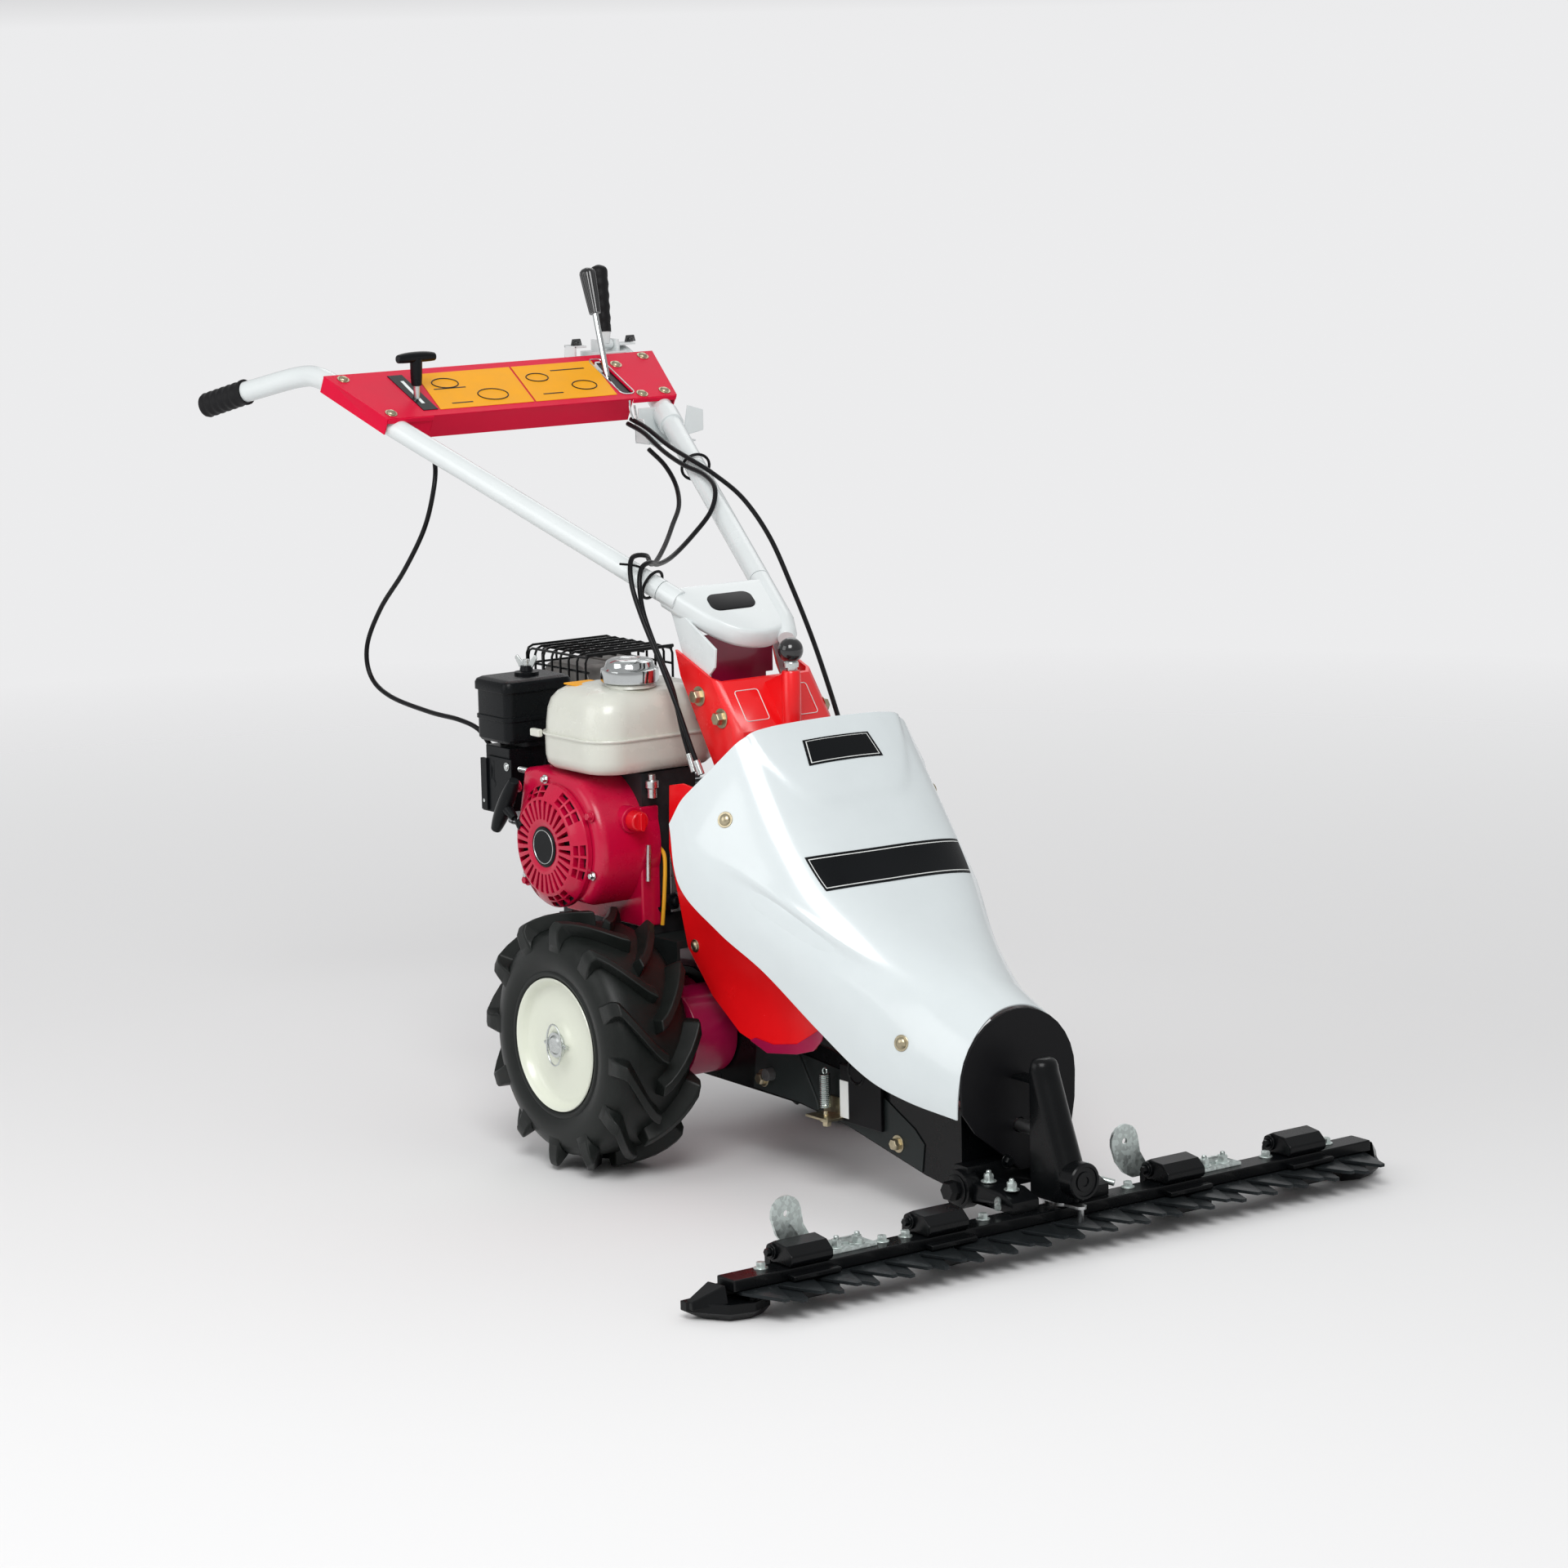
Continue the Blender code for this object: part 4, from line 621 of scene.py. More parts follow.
def rims():
    outer = [(0.0790, 0.030), (0.0800, 0.0500), (0.0830, 0.0560), (0.0855, 0.0590), (0.0848, 0.0603),
             (0.0820, 0.0590), (0.0790, 0.0540), (0.0765, 0.0490), (0.0735, 0.0462), (0.0660, 0.0450),
             (0.0400, 0.0460), (0.0300, 0.0475), (0.0240, 0.0500), (0.0190, 0.0545), (0.0130, 0.0552),
             (0.0130, 0.030)]
    inner = [(0.0790, 0.030), (0.0795, -0.0500), (0.0830, -0.0570), (0.0855, -0.0590), (0.0848, -0.0603),
             (0.0815, -0.0590), (0.0775, -0.0520), (0.0755, -0.0400), (0.0745, 0.0300), (0.0700, 0.0380),
             (0.0200, 0.0380), (0.0190, -0.0500), (0.0130, -0.0500), (0.0130, 0.030)]
    for side, word in SIDES:
        for label, profile in (("disc", outer), ("barrel", inner)):
            turned = [(r, side * x) for r, x in profile]
            shape = lathe(turned, "X", (side * HALF_TRACK, 0, AXLE.z), 96)
            build(f"rim_{word}_{label}", shape, "cream_paint", "wheels", "wheel_cream",
                  f"rim_{word}" if label == "disc" else (), crease=40)


def axle():
    """The axle with its zinc ends, each held by a ring clip through the hub."""
    worm = [(0, -0.266), (0.0095, -0.266), (0.0120, -0.2635), (0.0120, -0.0085), (0.0330, -0.0080)]
    teeth = [(0.0395 - 0.003 * (k % 2), -0.0075 + 0.0150 * k / 12) for k in range(13)]
    profile = worm + teeth + [(0.0330, 0.0080), (0.0120, 0.0085), (0.0120, 0.2635), (0.0095, 0.266),
                              (0, 0.266)]
    build("axle_shaft", lathe(profile, "X", AXLE, 48), "zinc", "wheels", "machined_steel", "axle", crease=30)
    for side, word in SIDES:
        x = side * 0.2615
        hub = lathe([(0.0122, side * 0.256), (0.0165, side * 0.256), (0.0172, side * 0.2590),
                     (0.0172, side * 0.2625), (0.0160, side * 0.2640), (0.0122, side * 0.2640)], "X", AXLE,
                    32)
        pin = sweep([AXLE + Vector((x, -0.024, 0.0)), AXLE + Vector((x, 0.024, 0.0))], 0.0028, 14)
        ring = [AXLE + Vector((x + side * 0.0035, 0.0165 * math.cos(a), 0.0265 * math.sin(a)))
                for a in [2 * math.pi * k / 40 for k in range(40)]]
        build(f"hub_{word}_clip", joined(hub, pin, hoop(ring, 0.0012)), "zinc", "wheels", "machined_steel",
              crease=40)


# Chassis


def gearbox():
    """The cast drum round the axle, with its flanges, ribs and filler plug."""
    half = [(0.0, 0.1380), (0.0380, 0.1380), (0.0400, 0.1365), (0.0530, 0.1355), (0.0560, 0.1330),
            (0.0560, 0.0710), (0.0620, 0.0700), (0.0638, 0.0685), (0.0638, 0.0640), (0.0560, 0.0625)]
    profile = half + [(r, -x) for r, x in reversed(half)]
    drum = lathe(profile, "X", AXLE, 80)
    foot = block((-0.045, -0.045, AXLE.z), (0.045, 0.045, 0.2797))
    ribs = [block((x - 0.003, -0.052, 0.200), (x + 0.003, 0.052, 0.268)) for x in (-0.030, 0.0, 0.030)]
    side_cover = lathe([(0.0, -0.1300), (0.0500, -0.1300), (0.0560, -0.1275), (0.0570, -0.1240),
                        (0.0570, -0.0645), (0.0, -0.0645)], "X", (0, -0.062, 0.170), 64)
    build("gearbox_case_body", joined(drum, foot, side_cover, *ribs), "dark_crimson", "chassis",
          "gearbox_red", "gearbox_case", bevel=0.0012, crease=35)
    places = []
    for side in (-1, 1):
        for k in range(6):
            angle = math.radians(60 * k + 20)
            place = AXLE + Vector((side * 0.1350, 0.046 * math.cos(angle), 0.046 * math.sin(angle)))
            places.append((place, (side, 0, 0)))
    fasten("gearbox_bolts", hex_bolt(0.0085), places, "zinc", "chassis", "machined_steel")
    fasten("gearbox_plug", hex_bolt(0.014), [(AXLE + Vector((-0.100, -0.040, 0.0395)), (0, -0.71, 0.70))],
           "yellow_zinc", "chassis", "yellow_zinc")


def main_frame():
    refined("main_frame", "black_paint", bevel=0.0011)
    x = -0.0626
    overlay = [(-0.150, 0.106), (-0.248, 0.1035), (-0.342, 0.0935), (-0.444, 0.0715), (-0.492, 0.0610),
               (-0.497, 0.096), (-0.478, 0.112), (-0.420, 0.140), (-0.330, 0.160), (-0.200, 0.172),
               (-0.158, 0.160)]
    build("frame_side_plate", prism(overlay, "X", x - 0.0016, x), "grey_black", "chassis", "black_paint",
          bevel=0.0006)
    bolts = [(Vector((x - 0.0016, y, z)), (-1, 0, 0)) for y, z in ((-0.172, 0.1215), (-0.446, 0.0880))]
    bolts += [(Vector((-x, y, z)), (1, 0, 0)) for y, z in ((-0.157, 0.118), (-0.446, 0.088), (-0.320, 0.140))]
    fasten("frame_bolts", hex_bolt(0.013), bolts, "yellow_zinc", "chassis", "yellow_zinc")
    box = block((-0.0700, -0.420, 0.098), (-0.0645, -0.338, 0.170))
    build("frame_side_box", box, "matt_black", "chassis", "black_paint", bevel=0.0012)
    tag = block((-0.0710, -0.356, 0.103), (-0.0700, -0.339, 0.150))
    build("frame_tag", tag, "label_white", "chassis", "fork_white", bevel=0.0004)
    ring = [(-0.0695, -0.372 + 0.016 * math.cos(a), 0.166 + 0.016 * math.sin(a))
            for a in [2 * math.pi * k / 28 for k in range(28)]]
    build("frame_cable_clip", hoop(ring, 0.0022), "black_paint", "chassis", "black_paint")
    rod = smooth([(-0.070, -0.250, 0.176), (-0.073, -0.272, 0.150), (-0.077, -0.300, 0.118),
                  (-0.079, -0.306, 0.107)])
    build("tension_rod", sweep(rod, 0.0019, 10), "grey_black", "chassis", "black_paint")


def engine_bridge():
    refined("engine_bridge", "grey_black", bevel=0.0015)
    # The slanted base under the engine's near side.
    outline = [(-0.076, 0.2300), (-0.020, 0.2240), (0.080, 0.2240), (0.150, 0.2310), (0.150, 0.2420),
               (-0.076, 0.2420)]
    build("bridge_lip", prism(outline, "X", -0.125, -0.119), "grey_black", "chassis", "bridge_black",
          bevel=0.0012)
    feet = [(Vector((x, y, 0.2903)), (0, 0, 1)) for x in (-0.1225, 0.0605) for y in (0.020, 0.130)]
    fasten("bridge_bolts", hex_bolt(0.012), feet, "zinc", "chassis", "machined_steel")


def nose():
    refined("nose_plate", "matt_black", bevel=0.0010)
    refined("front_carrier", "black_paint", bevel=0.0022, segments=3)
    bolts = [(Vector((x, -0.5973 - 0.0028, 0.089)), (0, -1, 0)) for x in (-0.020, 0.036)]
    fasten("nose_bolts", hex_bolt(0.010), bolts, "black_paint", "chassis", "black_paint")
    pivots = [(Vector((-0.0825, -0.580, 0.060)), (-1, 0, 0))]
    fasten("carrier_pivot_bolt", hex_bolt(0.022), pivots, "black_paint", "chassis", "black_paint")
    # The galvanised nuts on the crank that turns the bar's carrier.
    clamp = [(Vector((x, y, z)), (0, 0, 1)) for x, y, z in ((-0.058, -0.655, 0.0705), (0.058, -0.655, 0.0705),
                                                           (-0.058, -0.612, 0.0722), (0.058, -0.612, 0.0722))]
    fasten("carrier_nuts", nut_on_stud(0.011), clamp, "galvanised", "chassis", "galvanised")


def tunnel_rows(half_width, rear, fronts, steps=24):
    rows = []
    for height, front in fronts:
        row = [(half_width, rear, height)]
        for x, y in arc((0, 0), 1.0, 0, -180, steps):
            row.append((x * half_width, front + half_width * (1 + y), height))
        row.append((-half_width, rear, height))
        rows.append(row)
    return rows


def drive_cover():
    """The long half-round cover over the knife drive, leaning back to its closed top."""
    rear, half_width = -0.6425, 0.0195
    fronts = [(0.0545, -0.704), (0.066, -0.7115), (0.078, -0.7155), (0.100, -0.7060), (0.140, -0.6895),
              (0.172, -0.6770), (0.190, -0.6700), (0.205, -0.6640)]
    rows = tunnel_rows(half_width, rear, fronts)
    # The closed top shrinks in towards the rear edge.
    for shrink, height in ((0.04, 0.2110), (0.14, 0.2160), (0.30, 0.2190), (0.55, 0.2205)):
        rows.append([(x * (1 - shrink), rear + (y - rear) * (1 - shrink), height) for x, y, _ in rows[7]])
    stay = block((-0.0120, -0.6440, 0.1880), (0.0120, -0.6003, 0.1920))
    build("drive_cover_stay", stay, "black_paint", "chassis", "cover_black", bevel=0.0008)
    build("drive_cover_shell", loft(rows), "black_paint", "chassis", "cover_black", "drive_cover",
          bevel=0.0008, crease=50)
    centre = (0, 0, 0.083)
    ring = lathe([(0, -0.700), (0.0225, -0.700), (0.0225, -0.7195), (0.0210, -0.7215), (0.0180, -0.7215),
                  (0.0172, -0.7195), (0.0120, -0.7190), (0.0115, -0.7205), (0.0060, -0.7205),
                  (0.0055, -0.7190), (0, -0.7190)], "Y", centre, 56)
    build("bearing_cap", ring, "black_paint", "chassis", "cover_black", crease=30)


def cutter_bar():
    refined("bar_back", "black_paint", bevel=0.0018, segments=3)
    for number in range(1, 5):
        refined(f"knife_guide_{number}", "black_paint", bevel=0.0022, segments=3)
    for side, word in SIDES:
        refined(f"end_shoe_{word}", "black_paint", bevel=0.0020, segments=3)
        refined(f"bar_arm_{word}", "galvanised", bevel=0.0)
        low = [(side * x, y, z) for x, y, z in ((0.498, -0.690, 0.021), (0.498, -0.650, 0.021),
                                                (0.498, -0.650, 0.040), (0.498, -0.684, 0.042))]
        tip = [(side * x, y, z) for x, y, z in ((0.528, -0.662, 0.012), (0.528, -0.648, 0.012),
                                                (0.528, -0.648, 0.021), (0.528, -0.660, 0.022))]
        build(f"shoe_wedge_{word}", loft([low, tip]), "black_paint", "chassis", "black_paint", bevel=0.0015)
    rollers = [sweep([(x - 0.033, -0.657, 0.0600), (x + 0.033, -0.657, 0.0600)], 0.0095, 28)
               for x in GUIDE_XS]
    build("guide_rollers", joined(*rollers), "black_paint", "chassis", "guide_black", bevel=0.0012, crease=40)
    pins = [(Vector((x + s * 0.033, -0.657, 0.0600)), (s, 0, 0)) for x in GUIDE_XS for s in (-1, 1)]
    fasten("guide_pins", hex_bolt(0.0085), pins, "black_paint", "chassis", "guide_black")
    holders = [block((x - 0.034, -0.704, 0.0342), (x + 0.034, -0.688, 0.0408)) for x in GUIDE_XS]
    build("knife_holders", joined(*holders), "black_paint", "chassis", "guide_black", bevel=0.0018, crease=40)
    studs = [(Vector((x, -0.664, 0.0508)), (0, 0, 1)) for x in (-0.326, -0.296, 0.237, 0.267)]
    fasten("arm_nuts", nut_on_stud(0.011), studs, "galvanised", "chassis", "galvanised")
    heads = [(Vector((x, -0.667, 0.0466)), (0, 0, 1)) for x in (-0.436, -0.262, -0.228, -0.112, 0.112, 0.335,
                                                                0.436)]
    fasten("bar_bolts", hex_bolt(0.010), heads, "galvanised", "chassis", "galvanised")
    rods = [sweep(smooth([(s * 0.060, -0.640, 0.052), (s * 0.075, -0.650, 0.060),
                          (s * 0.090, -0.668, 0.056)]), 0.004) for s in (-1, 1)]
    build("bar_stay_rods", joined(*rods), "galvanised", "chassis", "galvanised")


def ground_tooth(x, low, high, up):
    """A tooth's ground edges: a shallow wedge on its lit face."""
    z = high if up else low
    rise = 0.0009 if up else -0.0009
    half = 0.0200
    base = [(x - half, -0.694, z), (x - 0.0032, -0.7445, z), (x + 0.0032, -0.7445, z), (x + half, -0.694, z)]
    top = [(x - half * 0.62, -0.694, z + rise), (x - 0.0012, -0.734, z + rise),
           (x + 0.0012, -0.734, z + rise), (x + half * 0.62, -0.694, z + rise)]
    return loft([base, top])


def knives():
    pitch = 0.0508
    for word, teeth, up in (("upper", 19, True), ("lower", 18, False)):
        node = f"{word}_knife"
        low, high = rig.box(node)
        refined(node, "blade_steel", bevel=0.0005)
        wedges = [ground_tooth((i - (teeth - 1) / 2) * pitch, low.z, high.z, up) for i in range(teeth)]
        build(f"{node}_edges", joined(*wedges), "blade_steel", node, "knife_steel", crease=10)
    rivets = []
    for i in range(19):
        for s in (-1, 1):
            x = (i - 9) * pitch + s * 0.010
            if min(abs(x - g) for g in GUIDE_XS) > 0.036 and abs(x) > 0.012:
                rivets.append((Vector((x, -0.6985, 0.0320)), (0, 0, 1)))
    rivet = lathe([(0, 0), (0.0030, 0), (0.0026, 0.0008), (0.0012, 0.0013), (0, 0.0014)], "Z", (0, 0, 0), 12)
    fasten("knife_rivets", rivet, rivets, "blade_steel", "upper_knife", "knife_steel")


def spring():
    turns, radius, z0, z1 = 17, 0.0058, 0.112, 0.1545
    coil = []
    for k in range(turns * 14 + 1):
        share = k / (turns * 14)
        angle = 2 * math.pi * turns * share
        coil.append((-0.078 + radius * math.cos(angle), -0.319 + radius * math.sin(angle),
                     z0 + (z1 - z0) * share))
    eye = [(-0.078, -0.319 + 0.004 * math.sin(a), 0.1585 - 0.004 * math.cos(a)) for a in
           [2 * math.pi * k / 20 for k in range(20)]]
    build("tension_spring_coil", joined(sweep(coil, 0.0013, 8), hoop(eye, 0.0013)), "spring_steel", "chassis",
          "spring_steel", "tension_spring")
    refined("spring_bracket", "yellow_zinc", bevel=0.0007)
    fasten("spring_bracket_bolt", hex_bolt(0.010), [(Vector((-0.0865, -0.3320, 0.1005)), (0, 0, -1))],
           "yellow_zinc", "chassis", "yellow_zinc")


# Belt and knife drive


def belt_drive():
    refined("v_belt", "belt_rubber", bevel=0.0008)
    for node, look in (("crankshaft_pulley", "machined"), ("driven_pulley", "cast_iron"),
                       ("idler_arm", "yellow_zinc"),
                       ("drive_shaft", "machined"), ("drive_lever", "machined")):
        refined(node, look, bevel=0.0006)
    spokes = [(COUNTERSHAFT + Vector((0.0092, 0.030 * math.cos(a), 0.030 * math.sin(a))), (1, 0, 0))
              for a in [2 * math.pi * k / 4 for k in range(4)]]
    fasten("driven_pulley_bolts", hex_bolt(0.009), spokes, "zinc", "countershaft", "machined_steel")
    fasten("crankshaft_bolt", hex_bolt(0.013), [(CRANK + Vector((0.0131, 0, 0)), (1, 0, 0))], "zinc",
           "crankshaft", "machined_steel")
    fasten("idler_bolt", hex_bolt(0.012), [(Vector((0.1086, -0.066, 0.368)), (1, 0, 0))], "zinc", "idler",
           "machined_steel")


# Covers


def belt_guard():
    refined("belt_guard", "red_paint", bevel=0.0010)
    lip = [(-0.250, 0.1745), (-0.311, 0.1835), (-0.345, 0.1935), (-0.362, 0.2090), (-0.372, 0.2300),
           (-0.345, 0.2150), (-0.311, 0.1965), (-0.262, 0.1875), (-0.225, 0.1900), (-0.214, 0.1850)]
    for side, word in SIDES:
        shape = prism(lip, "X", side * 0.1132, side * 0.1152)
        build(f"guard_lip_{word}", shape, "dark_crimson", "chassis", "gearbox_red", bevel=0.0006)
    places = [(Vector((side * 0.1132, -0.099, 0.287)), (side, 0, 0)) for side in (-1, 1)]
    fasten("guard_screws", pan_screw(0.0062), places, "yellow_zinc", "chassis", "yellow_zinc")


HOOD_SECTIONS = (
    # lower edge (x, y, z), ridge (y, z)
    ((0.200, -0.171, 0.463), (-0.230, 0.580)),
    ((0.193, -0.180, 0.385), (-0.270, 0.532)),
    ((0.175, -0.235, 0.333), (-0.320, 0.466)),
    ((0.155, -0.301, 0.290), (-0.375, 0.403)),
    ((0.130, -0.374, 0.227), (-0.435, 0.354)),
    ((0.112, -0.444, 0.178), (-0.495, 0.320)),
    ((0.101, -0.510, 0.158), (-0.550, 0.295)),
    ((0.091, -0.594, 0.148), (-0.594, 0.276)),
)
# The rear edge, as shares of its half width and height: a flat top, a slope and an upright corner.
HOOD_REAR = ((0.0, 1.0), (0.20, 0.995), (0.38, 0.985), (0.54, 0.955), (0.65, 0.86), (0.755, 0.66),
             (0.86, 0.46), (0.965, 0.26), (1.0, 0.0))


def hood_section(run):
    """The lower edge and ridge at run, which goes from 0 at the rear to 1 at the nose."""
    place = run * (len(HOOD_SECTIONS) - 1)
    i = min(int(place), len(HOOD_SECTIONS) - 2)
    flat = [Vector((*edge, *ridge)) for edge, ridge in HOOD_SECTIONS]
    ends = [flat[0] * 2 - flat[1]] + flat + [flat[-1] * 2 - flat[-2]]
    a, b, c, d = ends[i:i + 4]
    t = place - i
    return 0.5 * (2 * b + (c - a) * t + (2 * a - 5 * b + 4 * c - d) * t * t
                  + (3 * b - a - 3 * c + d) * t * t * t)


def rear_edge(across):
    """The rear edge's shares of width and height at across, with its corners eased."""
    shares = []
    for offset in (-0.03, -0.015, 0.0, 0.015, 0.03):
        place = min(max(abs(abs(across) + offset), 0.0), 1.0) * (len(HOOD_REAR) - 1)
        corner = min(int(place), len(HOOD_REAR) - 2)
        first, second = Vector(HOOD_REAR[corner]), Vector(HOOD_REAR[corner + 1])
        shares.append(first.lerp(second, place - corner))
    wide, tall = sum(shares, Vector((0.0, 0.0))) / len(shares)
    ease = min(1.0, (1 - abs(across)) / 0.03)
    return (wide, tall) if ease == 1.0 else (wide * ease + 1 - ease, tall * ease)


def hood_point(run, across):
    """A point on the outside of the hood. Across goes from -1 to 1, over the ridge at 0."""
    edge_x, edge_y, edge_z, ridge_y, ridge_z = hood_section(run)
    angle = abs(across) * math.pi / 2
    square = 0.94 - 0.34 * max(0.0, 1 - ((run - 0.38) / 0.45) ** 2)
    wide = math.sin(angle) ** square
    down = 1 - math.cos(angle) ** square if abs(across) < 1 else 1.0
    rear = max(0.0, 1 - run / 0.42) ** 1.5
    rear_wide, rear_tall = rear_edge(across)
    wide += rear * (rear_wide - wide)
    down += rear * (1 - rear_tall - down)
    return Vector((math.copysign(edge_x * wide, across), ridge_y + (edge_y - ridge_y) * down,
                   ridge_z + (edge_z - ridge_z) * down))


def hood_normal(run, across):
    step = 0.01
    back, front = max(run - step, 0.0), min(run + step, 1.0)
    left, right = max(across - step, -1.0), min(across + step, 1.0)
    along = hood_point(front, across) - hood_point(back, across)
    over = hood_point(run, right) - hood_point(run, left)
    return over.cross(along).normalized() * -1


def bump(value, centre, half):
    """1 at the centre, falling smoothly to 0 at half away."""
    return max(0.0, 1 - ((value - centre) / half) ** 2) ** 2


def step_down(value, width):
    """1 well below zero, 0 well above it."""
    return 1 / (1 + math.exp(min(60.0, max(-60.0, value / width))))


def hood_relief(run, across):
    """How far the moulded panel and the two crease lines stand off the plain surface."""
    reach = 0.235 - 2.2 * max(0.0, abs(across) - 0.10) ** 2
    panel = step_down(run - reach, 0.0045)
    beyond = abs(across) - (0.80 - 0.76 * (run - 0.23))
    fade = bump(run, 0.42, 0.27) * (step_down(beyond - 0.16, 0.035)
                                    if beyond > 0 else step_down(-beyond - 0.10, 0.03))
    crease = 0.0018 * bump(beyond, -0.02, 0.06) - 0.0036 * (1 - step_down(beyond, 0.010))
    return 0.0030 * panel + 1.3 * crease * fade


def hood():
    """The moulded nose hood: a thin shell with a raised top panel and a crease along each side."""
    runs, steps = 96, 96
    outside, inside = [], []
    for i in range(runs + 1):
        run = i / runs
        row, lining = [], []
        for k in range(steps + 1):
            across = 2 * k / steps - 1
            point, normal = hood_point(run, across), hood_normal(run, across)
            if normal.dot(point - Vector((0, -0.35, 0.15))) < 0:
                normal = -normal
            row.append(point + normal * hood_relief(run, across))
            lining.append(point - normal * 0.003)
        outside.append(row)
        inside.append(lining)
    rows = [outer + list(reversed(inner)) for outer, inner in zip(outside, inside)]
    points, faces = loft(rows, capped=False)
    count = len(rows[0])
    for end in (0, runs):
        for k in range(steps):
            far = count - 1 - k
            faces.append((end * count + k, end * count + k + 1, end * count + far - 1, end * count + far))
    build("hood_shell", (points, faces), "white_plastic", "chassis", "hood_white", "hood", bevel=0.0010,
          crease=50)
    screws = []
    for run, across in ((0.15, 0.66), (0.79, 0.74)):
        for side in (-1, 1):
            screws.append((hood_point(run, side * across), hood_outward(run, side * across)))
    fasten("hood_screws", pan_screw(0.0075), screws, "yellow_zinc", "chassis", "yellow_zinc")
    badge("hood_top_badge", (0.066, 0.145), 0.150, 0.0)
    badge("hood_front_badge", (0.336, 0.424), 0.410, -0.020, 0.055)


def hood_outward(run, across):
    normal = hood_normal(run, across)
    return normal if normal.dot(hood_point(run, across) - Vector((0, -0.35, 0.15))) > 0 else -normal


def badge(name, runs, half, bow, offset=0.0):
    """A blank black plate that follows the hood's surface, with a slim white line inside its border."""
    start, end = runs
    for part, look, inset, lift in (("plate", "badge_black", 0.0, 0.0006),
                                    ("line", "label_white", 0.07, 0.0009),
                                    ("face", "badge_black", 0.095, 0.0012)):
        rows = []
        for i in range(13):
            share = inset + (1 - 2 * inset) * i / 12
            row = []
            for k in range(33):
                side = (2 * k / 32 - 1) * (1 - inset * (end - start) / half * 2.2)
                across = offset + side * half
                run = start + (end - start) * share - bow * (1 - side ** 2)
                point = hood_point(run, across)
                outward = hood_outward(run, across)
                row.append(point + outward * (max(0.0, hood_relief(run, across)) + lift))
            rows.append(row)
        top = loft(rows, capped=False, looped=False)
        build(f"{name}_{part}", top, look, "chassis", "black_plastic" if part != "line" else "fork_white",
              crease=60)


# Engine


FAN_CENTRE = (0.064, 0.408)
FAN_RADIUS = 0.092
RECOIL = Vector((-0.2053, 0.070, 0.405))


def engine():
    refined("engine_block", "engine_grey", bevel=0.0025, segments=3)
    lean = Matrix.Translation((0, 0.130, 0.340)) @ Matrix.Rotation(math.radians(20), 4, "X")
    lean = lean @ Matrix.Translation((0, -0.130, -0.340))
    fins = [moved(block((-0.092, 0.142 + 0.0125 * k, 0.334), (0.052, 0.1455 + 0.0125 * k, 0.461)), lean)
            for k in range(7)]
    cover = moved(block((-0.080, 0.262, 0.350), (0.040, 0.284, 0.448)), lean)
    build("cylinder_fins", joined(*fins), "cast_aluminium", "chassis", "engine_aluminium", bevel=0.0006)
    build("valve_cover", cover, "cast_aluminium", "chassis", "engine_aluminium", bevel=0.006, segments=4)
    head_bolts = [((lean @ Vector((x, 0.284, z))), lean.to_3x3() @ Vector((0, 1, 0)))
                  for x in (-0.070, 0.030) for z in (0.360, 0.438)]
    fasten("head_bolts", hex_bolt(0.010), head_bolts, "zinc", "chassis", "machined_steel")
    plug = lean @ Vector((0.020, 0.270, 0.455))
    boot = smooth([plug, plug + Vector((0.004, 0.012, 0.022)), plug + Vector((0.0, -0.016, 0.036)),
                   (-0.030, 0.200, 0.5005), (-0.060, 0.160, 0.4985), (-0.080, 0.140, 0.480)])
    radii = [0.0075 if i < 9 else 0.0035 for i in range(len(boot))]
    build("spark_plug_lead", sweep(boot, radii, 14), "black_plastic", "chassis", "black_plastic")
    filler = [(Vector((-0.100, -0.0205, 0.330)), (0, -1, 0.2))]
    fasten("oil_filler", nut_on_stud(0.020), filler, "black_plastic", "chassis", "black_plastic")
    side_bolts = [(Vector((0.0602, y, z)), (1, 0, 0)) for y, z in ((0.000, 0.310), (0.000, 0.435),
                                                                   (0.145, 0.310), (0.145, 0.435),
                                                                   (0.070, 0.305), (0.110, 0.445))]
    fasten("crankcase_bolts", hex_bolt(0.010), side_bolts, "zinc", "chassis", "machined_steel")
    plate = block((-0.100, -0.0300, 0.318), (-0.074, -0.0285, 0.398))
    build("ignition_plate", plate, "zinc", "chassis", "machined_steel", bevel=0.0005)
    rod = smooth([(-0.108, -0.018, 0.402), (-0.109, -0.031, 0.390), (-0.113, -0.034, 0.345),
                  (-0.115, -0.031, 0.304)])
    build("dipstick", sweep(rod, 0.0026, 10), "yellow_rod", "chassis", "yellow_zinc")
    strip = sweep(smooth([(-0.132, -0.0290, 0.409), (-0.134, -0.0300, 0.386), (-0.134, -0.0290, 0.363)]),
                  0.0030, 12)
    tap = lathe([(0, -0.016), (0.0060, -0.016), (0.0060, -0.004), (0.0085, -0.003), (0.0085, 0.006),
                 (0.0045, 0.007), (0.0045, 0.014), (0, 0.014)], "Z", (-0.125, -0.0300, 0.4850), 24)
    build("side_strip", strip, "zinc", "chassis", "machined_steel")
    build("fuel_tap_body", tap, "zinc", "chassis", "machined_steel", bevel=0.0005)


